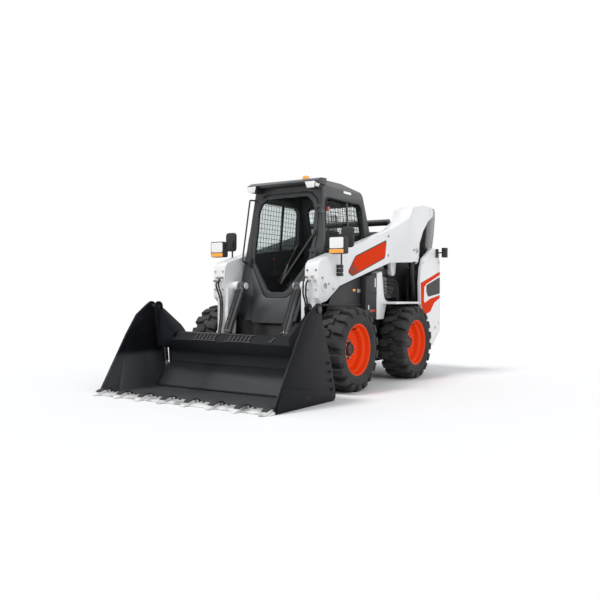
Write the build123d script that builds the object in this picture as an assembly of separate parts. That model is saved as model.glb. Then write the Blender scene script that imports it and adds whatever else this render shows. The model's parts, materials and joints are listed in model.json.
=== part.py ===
"""Skid steer loader with a combination bucket.

Millimetres. The front of the machine looks along -Y, its left side lies at +X and
+Z is up. Heights start at the floor and lengths along Y at the front axle, until
save() moves each piece so that the machine's length is centred on the origin.
"""
from build123d import *
import os
from math import hypot, sqrt

# ---------------------------------------------------------------- driving sizes
TYRE_R = 419.0                # over the lugs
TYRE_WIDTH = 312.0
WHEELBASE = 1415.0
RIM_R = 248.0                 # seat of the tyre bead
LUG_HEIGHT = 27.0
LUG_COUNT = 18                # in each of a tyre's two rows

BUCKET_WIDTH = 2032.0
BUCKET_PLATE = 20.0           # side plates
TOOTH_TIP_Y = -1705.0
TOOTH_COUNT = 8
TAIL_END_Y = 2330.0           # rear face of the tail

HULL_TOP = 690.0
HULL_BOTTOM = 215.0

CAB_HALF = 470.0
CAB_WALL = 38.0
CAB_BASE = 690.3              # rests on the hull
CAB_FLOOR = 710.0             # its floor plate's top
GLASS = 6.0

LINK_PLATE = 30.0             # control link
ARM_WIDTH = 95.0              # the lift arm's beam, across
FORK_WIDTH = 150.0            # its rear fork, across
FORK_CHEEK = 32.0             # each plate of the fork
TAIL_PLATE = 35.0

GAP = 0.3                     # round a pin, and between parts that only rest together
MOVING_GAP = 5.0

# Across the machine, from the cab's wall outwards.
CONTROL_IN = CAB_HALF + 45
CONTROL_OUT = CONTROL_IN + LINK_PLATE
ARM_IN = CONTROL_OUT + 15     # inner face of the lift arm's beam
ARM_OUT = ARM_IN + ARM_WIDTH
KNUCKLE_IN = ARM_IN - 57
LEG_IN = ARM_IN - 100         # lower leg, inboard of the tyre
LEG_OUT = ARM_IN + 40
FORK_IN = ARM_OUT - 15        # inner face of the rear fork
FORK_OUT = FORK_IN + FORK_WIDTH
FORK_SLOT_IN = FORK_IN + FORK_CHEEK
FORK_SLOT_OUT = FORK_OUT - FORK_CHEEK
FORK_MID = (FORK_IN + FORK_OUT) / 2
TAIL_IN = FORK_IN - 10        # outer face of the tail's inner plate
TAIL_OUT = FORK_OUT + MOVING_GAP + TAIL_PLATE
BAY_IN = CAB_HALF
BAY_OUT = BAY_IN + 30
TYRE_INNER_X = LEG_OUT + 24
TYRE_OUTER_X = TYRE_INNER_X + TYRE_WIDTH
TYRE_MID_X = (TYRE_INNER_X + TYRE_OUTER_X) / 2
HULL_HALF = TYRE_INNER_X - 34     # half width over the chain cases
AXLE_FACE = TYRE_INNER_X + 40
BUCKET_HALF = BUCKET_WIDTH / 2
BACK_HALF = BUCKET_HALF - 101     # the bucket's fixed back, between the clam's sides

# A point of the door's hinge line, and its direction.
DOOR_AXIS = ((CAB_HALF - 30, -75.0, 1330.0), (0.04, 0.16, 1.0))

# ------------------------------------------------------------ pivots, as (y, z)
LINK_FOOT = (1950.0, 1050.0)      # rear link on the tail
LINK_HEAD = (2120.0, 2000.0)      # rear link on the lift arm
CONTROL_FOOT = (163.0, 1207.0)    # control link on the hull
CONTROL_HEAD = (1430.0, 1240.0)   # control link on the arm's knee
LIFT_FOOT = (1930.0, 450.0)       # lift cylinder on the tail
LIFT_HEAD = (1670.0, 1500.0)      # its rod eye on the arm
TILT_HEAD = (-235.0, 1048.0)      # tilt cylinder on the arm
TILT_FOOT = (-540.0, 445.0)       # its rod eye on the carrier
CARRIER_PIN = (-500.0, 220.0)     # carrier on the arm
CLAM_PIN = (-920.0, 830.0)        # clam on the bucket's back
CLAM_CYL_HEAD = (-800.0, 655.0)   # clam cylinder on the back
CLAM_CYL_FOOT = (-735.0, 150.0)   # its rod eye on the clam

LINK_HALF = (FORK_SLOT_OUT - FORK_SLOT_IN) / 2 - 4
TILT_X = LEG_IN - 105
CLAM_CYL_X = BUCKET_HALF - 59

LENGTH_CENTRE = (TOOTH_TIP_Y + TAIL_END_Y) / 2


# ------------------------------------------------------------------ small tools
def plate(points, x_from, x_to):
    """A flat piece seen from the side: (y, z) corners, extruded along X."""
    face = make_face(Polyline(*points, close=True))
    return extrude(Plane.YZ.offset(x_from) * face, x_to - x_from)


def front_shape(points, y_from, y_to):
    """A piece seen from the front: (x, z) corners, extruded along Y."""
    face = make_face(Polyline(*points, close=True))
    return extrude(Plane.XZ.offset(-y_to) * face, y_to - y_from)


def plan_shape(points, z_from, z_to):
    """A piece seen from above: (x, y) corners, extruded along Z."""
    face = make_face(Polyline(*points, close=True))
    return extrude(Plane.XY.offset(z_from) * face, z_to - z_from)


def block(x_from, x_to, y_from, y_to, z_from, z_to):
    size = (x_to - x_from, y_to - y_from, z_to - z_from)
    return Pos((x_from + x_to) / 2, (y_from + y_to) / 2, (z_from + z_to) / 2) * Box(*size)


def pin(at, radius, x_from, x_to):
    """A round bar along X at (y, z)."""
    middle = Pos((x_from + x_to) / 2, at[0], at[1])
    return middle * Rot(0, 90, 0) * Cylinder(radius, x_to - x_from)


def bar(start, end, radius):
    """A round bar between two (x, y, z) points."""
    along = Vector(*end) - Vector(*start)
    return extrude(Plane(origin=start, z_dir=along) * Circle(radius), along.length)


def mirrored(shape):
    return mirror(shape, about=Plane.YZ)


def both(shape):
    """The shape and its mirror image on the other side of the machine."""
    return [shape, mirrored(shape)]


def save(name, *shapes):
    solids = []
    for shape in shapes:
        solids += shape.moved(Pos(0, -LENGTH_CENTRE, 0)).solids()
    export_step(Compound(children=solids), f"parts/{name}.step")


def fuse(first, *rest):
    result = first
    for shape in rest:
        result = result + shape
    return result


# --------------------------------------------------------------------- the hull
def main_frame():
    outline = [(-175, HULL_TOP), (-175, 500), (-262, 300), (-205, HULL_BOTTOM),
               (1700, HULL_BOTTOM), (1790, 300), (1790, HULL_TOP)]
    hull = plate(outline, -HULL_HALF, HULL_HALF)
    # The cab's foot well.
    hull -= block(-300, 300, -140, 420, 560, HULL_TOP + 1)
    for side in both(control_post()):
        hull += side
    return hull


def control_post():
    """Carries the control link's front pin, between the cab and the lift arm."""
    y, z = CONTROL_FOOT
    post_in, post_out = CAB_HALF + 8, CONTROL_IN - MOVING_GAP
    post = plate([(y - 110, HULL_TOP - 10), (y + 150, HULL_TOP - 10), (y + 48, z + 12),
                  (y - 48, z + 12)], post_in, post_out)
    post += pin(CONTROL_FOOT, 48, post_in, post_out)
    post += pin(CONTROL_FOOT, 22, post_out - 1, CONTROL_OUT + 2)
    post += pin(CONTROL_FOOT, 34, CONTROL_OUT + 2, ARM_IN - MOVING_GAP)
    return post


def side_covers():
    """Dark covers under the lift arms, each with a pressed ridge."""
    top = [(-178, 862), (60, 1018), (640, 1156)]
    cover = plate([(-160, HULL_TOP + GAP), *top, (640, HULL_TOP + GAP)], HULL_HALF - 22, HULL_HALF - 4)
    cover += plate([(-165, 846), (640, 846), (640, 866), (-170, 866)], HULL_HALF - 5, HULL_HALF + 8)
    return both(cover)


def tower_covers():
    cover = plate([(650, 770), (650, 1156), (905, 1206), (905, HULL_TOP + GAP), (700, HULL_TOP + GAP)],
                  HULL_HALF - 20, HULL_HALF + 62)
    return both(cover)


def axle_housings():
    pieces = []
    for y in (0, WHEELBASE):
        pieces += both(pin((y, TYRE_R), 82, HULL_HALF, AXLE_FACE))
    return pieces


# ------------------------------------------------------------------------ wheels
DISH = -8.0                       # outer face of the wheel's disc, from the tyre's middle
TREAD_R = TYRE_R - LUG_HEIGHT


def tyre():
    """One tyre about the X axis through the origin, its outer side towards +X."""
    half = TYRE_WIDTH / 2
    bead = half - 34
    section = Polyline(
        (-bead, RIM_R), (-bead, RIM_R + 17), (-half, RIM_R + 52), (-half, TREAD_R - 62),
        (-half + 26, TREAD_R - 18), (-half + 70, TREAD_R), (half - 70, TREAD_R), (half - 26, TREAD_R - 18),
        (half, TREAD_R - 62), (half, RIM_R + 52), (bead, RIM_R + 17), (bead, RIM_R), close=True)
    carcass = revolve(Plane.XY * make_face(section), Axis.X)
    lugs = []
    for row, turn in ((-1, 0.0), (1, 0.5)):
        for number in range(LUG_COUNT):
            angle = 360 / LUG_COUNT * (number + turn)
            lugs.append(Rot(angle, 0, 0) * lug(row))
    for each in lugs:
        carcass += each
    return carcass


def lug(row):
    """A slanting tread bar that reaches from past the middle to the shoulder."""
    half = TYRE_WIDTH / 2
    base, tip = 64.0, 46.0
    inner, outer = -14.0, half - 2
    lean = 52.0
    deep = TREAD_R - 40
    # The leading corner of the crown is what reaches the tyre's radius.
    crown_height = sqrt(TYRE_R ** 2 - (lean + tip / 2) ** 2)
    foot = Plane.XY.offset(deep) * make_face(Polyline(
        (row * inner, lean - base / 2), (row * inner, lean + base / 2),
        (row * outer, base / 2), (row * outer, -base / 2), close=True))
    crown = Plane.XY.offset(crown_height) * make_face(Polyline(
        (row * inner, lean - tip / 2), (row * inner, lean + tip / 2),
        (row * (outer - 16), tip / 2), (row * (outer - 16), -tip / 2), close=True))
    return loft([foot, crown])


def rim():
    """A dished steel wheel about the X axis, its open side towards +X."""
    bead = TYRE_WIDTH / 2 - 34 + GAP
    lip = 11.0
    seat_r = RIM_R - GAP
    section = Polyline(
        (-bead - lip, RIM_R + 14), (-bead, RIM_R + 14), (-bead, seat_r), (bead, seat_r), (bead, RIM_R + 14),
        (bead + lip, RIM_R + 14), (bead + lip, RIM_R - 12), (78, RIM_R - 18), (68, RIM_R - 38),
        (DISH + 26, RIM_R - 46), (DISH, RIM_R - 72), (DISH, 60), (DISH - 12, 60), (DISH - 12, RIM_R - 66),
        (-bead - lip, RIM_R - 12), close=True)
    return revolve(Plane.XY * make_face(section), Axis.X)


def hub():
    """Hub flange and cap, bolted into the wheel's dish."""
    flange = pin((0, 0), 105, DISH + GAP, DISH + 14)
    cap = pin((0, 0), 62, DISH + 13, DISH + 62)
    shaft = pin((0, 0), 59, AXLE_FACE - TYRE_MID_X + GAP, DISH + 1)
    return flange + cap + shaft


# ------------------------------------------------------------------ rear frame
TIE_DOWN = (TAIL_END_Y - 150, 560.0)      # shackle hole in the tail's outer plate
TIE_DOWN_R = 20.0
GATE_AXIS = (-BAY_IN - 8, TAIL_END_Y - 9)     # tailgate hinge, as (x, y)
HOOD_AXIS = (1446.0, 1706.0)      # hood hinge, as (y, z)


def tail_outline(low_front):
    """The tail's foot, from its rear corner round to the edge behind the wheel."""
    end = TAIL_END_Y
    return [(end, 520), (end - 220, 345), (end - 370, 345), *low_front]


def rear_frame():
    """One side of the tail: its outer plate, the corner behind it, the floor and the two pins."""
    end, inside = TAIL_END_Y, TAIL_OUT - TAIL_PLATE - GAP
    outer = plate([(1722, 1290), (1782, 1405), (end - 255, 1555), (end - 30, 1515), (end, 1100),
                   *tail_outline([(1886, 400), (1880, 560), (1830, 720), (1712, 850), (1700, 1120)])],
                  TAIL_OUT - TAIL_PLATE, TAIL_OUT)
    outer -= pin(TIE_DOWN, TIE_DOWN_R, TAIL_OUT - TAIL_PLATE - 5, TAIL_OUT + 5)
    corner = plate([(end - 75, 470), (end, 520), (end, 1100), (end - 30, 1400), (end - 75, 1400)],
                   BAY_OUT + GAP, inside)
    floor = plate([(end - 370, 345), (end - 220, 345), (end - 75 - GAP, 460), (end - 75 - GAP, 485),
                   (end - 225, 368), (end - 365, 368)], BAY_OUT + GAP, inside)
    return [outer, corner, floor, *[pin(at, 24, TAIL_IN - 30, inside) for at in (LINK_FOOT, LIFT_FOOT)]]


def tail_inner_plates():
    """Each carries the inner ends of its side's link and cylinder pins."""
    end = TAIL_END_Y
    inner = plate([(1800, 1300), (end - 130, 1400), (end - 75 - GAP, 1400), (end - 75 - GAP, 505),
                   (end - 225, 368 + GAP), (end - 365, 368 + GAP), (1886, 420), (1800, 620)], TAIL_IN - 30, TAIL_IN)
    for at in (LINK_FOOT, LIFT_FOOT):
        inner -= pin(at, 24 + GAP, TAIL_IN - 40, TAIL_IN + 10)
    return both(inner)


def engine_bay():
    """Dark side walls round the engine, from the cab to the tailgate."""
    end = TAIL_END_Y
    return both(plate([(1150, HULL_TOP + GAP), (1150, 1600), (1200, 1670), (end - 450, 1650), (end - 190, 1515),
                       (end - 30, 1400), (end - 30, 480), (end - 220, 368), (1790 + GAP, 368),
                       (1790 + GAP, HULL_TOP + GAP)], BAY_IN, BAY_OUT))


def fenders():
    """White post behind the tower, flaring into the arch over the rear wheel."""
    foot = HULL_TOP + GAP
    post = plate([(905 + GAP, foot), (905 + GAP, 1200), (1030, 1231), (1085, 960), (1118, 912), (1180, 888),
                  (1740, 888), (1740, 862), (1150, 862), (1080, foot)], HULL_HALF - 30, ARM_OUT)
    arch = block(BAY_OUT + GAP, TAIL_OUT, 1040, 1740, 862, 888)
    # The lift cylinder leans forward through this notch as the arms rise.
    arch -= block(FORK_MID - 58, FORK_MID + 58, 1620, 1750, 850, 900)
    post -= block(FORK_MID - 58, FORK_MID + 58, 1620, 1750, 850, 900)
    arch -= plate([(1690, 850), (1760, 850), (1760, 900), (1690, 900)], TAIL_OUT - TAIL_PLATE - GAP, TAIL_OUT + 1)
    return both(post + arch)


def gate_knuckles(shift):
    """Hinge knuckles of the tailgate: shift 0 is the frame's half, 1 the gate's."""
    x, y = GATE_AXIS
    pieces = None
    for z in (700 + (40 + GAP) * shift, 1290 + (40 + GAP) * shift):
        each = Pos(x, y, z) * Cylinder(9, 40)
        each += block(x - 29, x, y - 14, y + 4, z - 20, z + 20) if shift == 0 else \
            block(x, x + 13, y - 8, y - 3, z - 20, z + 20)
        pieces = each if pieces is None else pieces + each
    return pieces


def hood_knuckles(shift):
    """Hinge knuckles of the hood: shift 0 is the deck's half, 1 the hood's."""
    y, z = HOOD_AXIS
    pieces = None
    for x in (-330 + (60 + GAP) * shift, 270 + (60 + GAP) * shift):
        each = pin(HOOD_AXIS, 9, x, x + 60)
        each += block(x, x + 60, y - 13, y, z - 5, z + 5) if shift == 0 else \
            block(x, x + 60, y, y + 13, z - 5, z + 5)
        pieces = each if pieces is None else pieces + each
    return pieces


def engine_deck():
    """Fixed cover between the cab and the hood."""
    deck = plate([(1150, 1620), (1200, 1700), (1434, 1716), (1434, 1690), (1215, 1672), (1180, 1610),
                  (1180, 1505), (1150, 1505)], -BAY_IN + GAP, BAY_IN - GAP)
    return deck + hood_knuckles(0)


def hood_lid():
    end = TAIL_END_Y
    lid = plate([(1458, 1690), (1458, 1716), (end - 430, 1700), (end - 180, 1560), (end - 180, 1530),
                 (end - 440, 1672)], -BAY_IN + 8, BAY_IN - 8)
    for row in range(6):
        y = 1520 + 55 * row
        lid -= block(-380, 380, y, y + 26, 1600, 1800)
    return lid + hood_knuckles(1)


def tailgate():
    """Rear door with a louvred field."""
    half, inside, outside = BAY_IN - 4, TAIL_END_Y - 68, TAIL_END_Y - 12
    shape = front_shape([(-half, 560), (-half, 1440), (-half + 66, 1500), (half - 66, 1500), (half, 1440), (half, 560)],
                        inside, outside)
    shape -= block(-half + 136, half - 136, inside - 1, inside + 30, 640, 1400)
    for row in range(9):
        z = 700 + 72 * row
        shape -= block(-half + 166, half - 166, inside - 10, outside + 10, z, z + 34)
    return shape + gate_knuckles(1)


# ------------------------------------------------------------------------ cab
FRONT_LINE = [(-250, 655), (-120, 955), (30, 1630), (87, 2150)]


def cab_outline(inset):
    """The cab from the side, drawn in by inset."""
    i = inset
    return [(-248 + i * 1.2, CAB_BASE), (-120 + i, 955), (30 + i, 1630), (90 + i, 2120 - i),
            (130 + i, 2172 - i), (560, 2180 - i), (940 - i, 2130 - i), (985 - i, 2080 - i),
            (1118 - i, 1600), (1118 - i, CAB_BASE)]


def cab_section(inset):
    """The cab from the front, drawn in by inset."""
    half = CAB_HALF - inset
    top = 2200 - inset
    return [(-half, 600), (-half, 1560), (-half + 22, 1800), (-half + 48, 2110), (-half + 110, top),
            (half - 110, top), (half - 48, 2110), (half - 22, 1800), (half, 1560), (half, 600)]


def cab_body(inset):
    """The cab's solid outer form, drawn in by inset. Its nose passes between the arms' lower legs."""
    half, nose, step = CAB_HALF - inset, CAB_HALF - 140 - inset, -165 + inset
    body = plate(cab_outline(inset), -half, half) & front_shape(cab_section(inset), -300, 1200)
    return body & plan_shape([(-half, step), (-nose, step), (-nose, -300), (nose, -300), (nose, step),
                              (half, step), (half, 1200), (-half, 1200)], 600, 2250)


def cab_shell():
    outer = cab_body(0)
    inner = cab_body(CAB_WALL)
    inner &= block(-CAB_HALF, CAB_HALF, -300, 1200, CAB_FLOOR, 2200)
    shell = outer - inner
    # The roof's front edge overhangs the door.
    brow = plate([(-30, 2104), (-48, 2128), (30, 2168), (140, 2176), (140, 2104)], -CAB_HALF + 22, CAB_HALF - 22)
    shell += brow - inner
    # The front below the pillars is open, down to the foot well.
    shell += door_knuckles(0)
    shell -= front_shape(door_outline(MOVING_GAP), -400, 200)
    shell -= front_shape(nose_outline(GAP), -400, 200)
    shell -= block(-300, 300, -100, 420, 690, 730)
    shell -= plate(side_window_outline(), -CAB_HALF - 5, CAB_HALF + 5)
    shell -= rear_skin(-20, CAB_WALL + 60) & front_shape(rear_window_outline(0), 900, 1200)
    return shell


def side_window_outline(inset=0):
    i = inset
    return [(85 + i, 1450 + i), (130 + i, 1405 + i), (900 - i, 1500 + i), (950 - i, 1560 + i),
            (930 - i, 1925 - i), (880 - i, 1985 - i), (190 + i, 1985 - i), (140 + i, 1935 - i)]


def rear_window_outline(inset):
    i = inset
    half = CAB_HALF - 130
    return [(-half + i, 1640 + i), (-half + i, 1950 - i), (-half + 40 + i, 1990 - i), (half - 40 - i, 1990 - i),
            (half - i, 1950 - i), (half - i, 1640 + i)]


def rear_skin(set_back, thickness):
    """A sheet that follows the cab's leaning rear wall, set in from its face."""
    line = [(1118, 1600), (985, 2080)]
    face = [(y - set_back, z) for y, z in line]
    back = [(y - set_back - thickness, z) for y, z in reversed(line)]
    return plate(face + back, -CAB_HALF, CAB_HALF)


def two_sided(right_side):
    """Closes an outline seen from the front from its right side, given from the bottom up."""
    return [(-x, z) for x, z in right_side] + [(x, z) for x, z in reversed(right_side)]


def door_outline(grow):
    """The door from the front: a frame round the glass, narrow at its foot and round at its head."""
    g, half = grow, CAB_HALF
    return two_sided([(125 + g, 932 - g), (172 + g, 968 - g), (half - 84 + g, 1290), (half - 62 + g, 1500),
                      (half - 66 + g, 1850), (half - 92 + g, 1955 + g / 2), (half - 170 + g, 2032 + g),
                      (half - 230 + g, 2042 + g)])


def nose_outline(grow):
    """The fixed panel under the door, with a horn up each side of it."""
    g, half = grow, CAB_HALF
    return two_sided([(half - 255 + g, 662 - g), (half - 208 + g, 712 - g), (half - 170 + g, 960),
                      (half - 100 + g, 1240)])


def door_glass_outline(grow):
    g, half = grow, CAB_HALF
    return two_sided([(98 + g, 975 - g), (146 + g, 1006 - g), (half - 118 + g, 1300), (half - 98 + g, 1500),
                      (half - 102 + g, 1845), (half - 126 + g, 1932 + g / 2), (half - 194 + g, 1998 + g),
                      (half - 240 + g, 2006 + g)])


def front_skin(set_back, thickness):
    """A sheet that follows the cab's front, set back behind its face."""
    face = [(y + set_back, z) for y, z in FRONT_LINE]
    back = [(y + set_back + thickness, z) for y, z in reversed(FRONT_LINE)]
    return plate(face + back, -CAB_HALF, CAB_HALF)


def front_panel():
    panel = front_skin(-4, 34) & front_shape(nose_outline(0), -400, 300)
    return panel - front_shape(door_outline(MOVING_GAP), -400, 300)


def door_axis_at(z):
    """The point of the door's hinge line at a height. It leans with the pillar."""
    rise = z - DOOR_AXIS[0][2]
    return tuple(p + d * rise for p, d in zip(*DOOR_AXIS))


def door_knuckles(shift):
    """Hinge knuckles of the door: shift 0 is the pillar's half, 1 the door's."""
    pieces = None
    for z in (1340 + (50 + GAP) * shift, 1800 + (50 + GAP) * shift):
        low, high = door_axis_at(z), door_axis_at(z + 50)
        each = bar(low, high, 11)
        x, y, _ = door_axis_at(z + 25)
        if shift == 0:
            each += block(x - 30, x - 8, y - 6, y + 90, z + 8, z + 42) - cab_body(-GAP)
        else:
            each += block(x - 70, x, y - 6, y + 6, z + 8, z + 42)
            each += block(x - 76, x - 48, y - 6, y + 70, z + 8, z + 42) - front_skin(-4, 200)
        pieces = each if pieces is None else pieces + each
    return pieces


def door_frame():
    frame = front_skin(-4, 34) & front_shape(door_outline(0), -400, 300)
    frame -= front_shape(door_glass_outline(-10), -400, 300)
    frame -= front_skin(6, GLASS + 2 * GAP) & front_shape(door_glass_outline(GAP), -400, 300)
    return frame + door_knuckles(1)


def door_glass():
    return front_skin(6 + GAP, GLASS) & front_shape(door_glass_outline(0), -400, 300)


def side_windows():
    """Side panes, leaning as the cab's walls do."""
    outer, inner = CAB_WALL + GAP, CAB_WALL + GAP + GLASS
    skin = front_shape(cab_section(outer), -300, 1200) - front_shape(cab_section(inner), -300, 1200)
    pane = plate(side_window_outline(-12), 300, CAB_HALF) & skin
    return both(pane.solids()[0])


def side_screens():
    """Flat guard bars across the inside of each side window."""
    lean = front_shape(cab_section(4), -300, 1200) - front_shape(cab_section(14), -300, 1200)
    grid = None
    for y in range(150, 931, 98):
        each = block(300, CAB_HALF, y, y + 9, 1440, 1990)
        grid = each if grid is None else grid + each
    for z in range(1480, 1981, 98):
        grid += block(300, CAB_HALF, 100, 950, z, z + 9)
    grid = grid & plate(side_window_outline(1), 300, CAB_HALF) & lean
    return both(grid)


def rear_window():
    return rear_skin(12, GLASS) & front_shape(rear_window_outline(GAP), 900, 1200)


# ------------------------------------------------------------- lift arm linkage
def lift_arm():
    beam = plate([(-110, 1350), (126, 1412), (369, 1484), (746, 1584), (1240, 1722), (1240, 1340), (813, 1239),
                  (238, 1096), (60, 1050), (-110, 948)], ARM_IN, ARM_OUT)
    knuckle = plate([(-350, 930), (-352, 1206), (-338, 1262), (-300, 1296), (-110, 1350), (40, 1390), (40, 1036),
                     (-190, 900), (-290, 880)], KNUCKLE_IN, ARM_OUT)
    leg = plate([(-350, 1020), (-345, 600), (-425, 420), (-548, 260), (-560, 205), (-520, 162), (-460, 168),
                 (-440, 230), (-300, 420), (-215, 560), (-200, 900), (-200, 1020)], LEG_IN, LEG_OUT)
    rear = plate([(1200, 1711), (1240, 1722), (1440, 1836), (1480, 1880), (1530, 1980), (1580, 2008), (1862, 2062),
                  (2120, 2062), (2182, 2000), (2150, 1945), (2020, 1880), (1869, 1747), (1762, 1590), (1752, 1420),
                  (1728, 1384), (1536, 1354), (1240, 1340), (1200, 1330)], ARM_IN, FORK_OUT)
    jog = plan_shape([(ARM_IN, 1190), (ARM_OUT, 1190), (ARM_OUT, 1240), (FORK_OUT, 1500), (FORK_OUT, 2260),
                      (FORK_IN, 2260), (FORK_IN, 1600), (ARM_IN, 1520)], 1200, 2200)
    eye = pin(LIFT_HEAD, 62, FORK_IN, FORK_OUT)
    arm = fuse(beam, knuckle, leg, rear & jog, eye, pin(LINK_HEAD, 62, FORK_IN, FORK_OUT))
    arm -= plate([(1960, 1700), (1960, 2200), (2300, 2200), (2300, 1700)], FORK_SLOT_IN, FORK_SLOT_OUT)
    arm -= plate([(1560, 1300), (1540, 1600), (1700, 1640), (1790, 1700), (1960, 1700), (1960, 1300)],
                 FORK_SLOT_IN, FORK_SLOT_OUT)
    arm -= pin(LINK_HEAD, 25 + GAP, FORK_IN - 5, FORK_OUT + 5)
    knee = plate([(1345, 1420), (1530, 1420), (1482, 1212), (1440, 1190), (1395, 1200)], ARM_IN, LEG_OUT)
    arm = fuse(arm, knee, pin(CONTROL_HEAD, 42, CONTROL_OUT + 3, ARM_IN + 1))
    arm += pin(TILT_HEAD, 48, TILT_X + 40 + 3, KNUCKLE_IN + 1)
    arm += pin(TILT_HEAD, 18, TILT_X - 50, KNUCKLE_IN)
    arm += pin(TILT_HEAD, 34, TILT_X - 52, TILT_X - 43)
    arm -= pin(CARRIER_PIN, 22 + GAP, LEG_IN - 5, LEG_OUT + 5)
    return arm


def cross_tubes():
    rear = pin((1400, 1825), 38, -ARM_IN, ARM_IN)
    front = pin((-348, 415), 38, -LEG_IN, LEG_IN)
    return [rear, front]


def rear_link():
    """Bowed plate between tail and arm, with an eye at each end."""
    (fy, fz), (hy, hz) = LINK_FOOT, LINK_HEAD
    web = plate([(fy - 52, fz), (fy + 40, 1400), (fy + 96, 1750), (hy - 55, hz), (hy + 20, hz + 64),
                 (hy + 170, hz + 66), (hy + 204, hz + 30), (hy + 208, hz - 70), (hy + 168, 1720),
                 (hy + 96, 1480), (fy + 120, 1250), (fy + 56, fz)], FORK_MID - LINK_HALF, FORK_MID + LINK_HALF)
    link = fuse(web, pin(LINK_FOOT, 60, FORK_MID - LINK_HALF, FORK_MID + LINK_HALF),
                pin(LINK_HEAD, 66, FORK_MID - LINK_HALF, FORK_MID + LINK_HALF))
    link += pin(LINK_HEAD, 25, FORK_IN - 2, FORK_OUT + 2)
    link -= pin(LINK_FOOT, 24 + GAP, FORK_SLOT_IN - 10, FORK_SLOT_OUT + 10)
    return link


def control_link():
    (fy, fz), (hy, hz) = CONTROL_FOOT, CONTROL_HEAD
    web = plate([(fy, fz - 40), (fy + 500, fz - 30), (hy, hz - 36), (hy, hz + 36), (fy + 500, fz + 42),
                 (fy, fz + 40)], CONTROL_IN, CONTROL_OUT)
    link = fuse(web, pin(CONTROL_FOOT, 46, CONTROL_IN, CONTROL_OUT), pin(CONTROL_HEAD, 44, CONTROL_IN, CONTROL_OUT))
    link -= pin(CONTROL_FOOT, 22 + GAP, CONTROL_IN - 10, CONTROL_OUT + 10)
    return link


def along(foot, head, distance, x):
    """The point at a distance from foot towards head, as (x, y, z)."""
    span = hypot(head[0] - foot[0], head[1] - foot[1])
    share = distance / span
    return (x, foot[0] + (head[0] - foot[0]) * share, foot[1] + (head[1] - foot[1]) * share)


def barrel(foot, head, x, radius, length, rod_r, pin_r, eye_half, eye_r):
    """A barrel that turns on a pin at foot, bored for its rod."""
    shape = bar(along(foot, head, eye_r * 0.6, x), along(foot, head, length, x), radius)
    shape += pin(foot, eye_r, x - eye_half, x + eye_half)
    shape -= pin(foot, pin_r + GAP, x - eye_half - 60, x + eye_half + 60)
    return shape - bar(along(foot, head, eye_r + 4, x), along(foot, head, length + 1, x), rod_r + GAP)


def rod(foot, head, x, radius, start, eye_half, eye_r):
    """A piston rod from inside its barrel to a solid eye at head."""
    shape = bar(along(foot, head, start, x), along(foot, head, span_of(foot, head), x), radius)
    return shape + pin(head, eye_r, x - eye_half, x + eye_half)


def span_of(foot, head):
    return hypot(head[0] - foot[0], head[1] - foot[1])


# ---------------------------------------------------------- carrier and bucket
BACK_REAR = -700.0
CLAM_PIN_R = 20.0
CLAM_CYL_PIN_R = 14.0
CARRIER_FACE = BACK_REAR + GAP


def quick_attach():
    plates = None
    for x_from, x_to in ((LEG_IN - 32, LEG_IN - MOVING_GAP), (LEG_OUT + MOVING_GAP, LEG_OUT + 16)):
        lug_plate = plate([(CARRIER_FACE + 10, 150), (CARRIER_FACE + 10, 330), (-560, 330), (-462, 262), (-448, 220),
                           (-470, 175), (-540, 150)], x_from, x_to)
        plates = lug_plate if plates is None else plates + lug_plate
    for x_from, x_to in ((TILT_X - 50, TILT_X - 32), (TILT_X + 32, TILT_X + 50)):
        plates += plate([(CARRIER_FACE + 10, 300), (CARRIER_FACE + 10, 470), (-560, 480), (-520, 478), (-506, 450),
                         (-516, 414)], x_from, x_to)
    plates += block(TILT_X - 50, LEG_OUT + 16, CARRIER_FACE, CARRIER_FACE + 14, 110, 474)
    carrier = plates + mirrored(plates)
    carrier += block(-TILT_X, TILT_X, CARRIER_FACE, CARRIER_FACE + 14, 410, 474)
    carrier += block(-TILT_X, TILT_X, CARRIER_FACE, CARRIER_FACE + 14, 110, 170)
    for side in (1, -1):
        ends = sorted((side * (LEG_IN - 32), side * (LEG_OUT + 16)))
        carrier += pin(CARRIER_PIN, 22, *ends)
    return carrier


def bucket_back():
    """The fixed rear part: mouldboard, top box, wings and clam ears."""
    # Its heel is cut back, so that it clears the tyres as the bucket dumps.
    board = plate([(BACK_REAR, 66), (BACK_REAR, 545), (-730, 560), (-730, 66), (-744, 40),
                   (-744, 20 + MOVING_GAP), (-724, 20 + MOVING_GAP)], -BACK_HALF, BACK_HALF)
    # The lower band slopes forward to the back's own blade, clear of the floor's swing.
    band = plate([(-728, 262), (-742, 262), (-906, 42), (-906, 27), (-894, 27), (-728, 242)], -BACK_HALF, BACK_HALF)
    box_half = BACK_HALF - 195
    box = plate([(BACK_REAR, 545), (BACK_REAR - 20, 575), (-845, 575), (-928, 500), (-920, 392), (-728, 436)],
                -box_half, box_half)
    back = fuse(board, band, box)
    for side in back_wing():
        back += side
    return back


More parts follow.
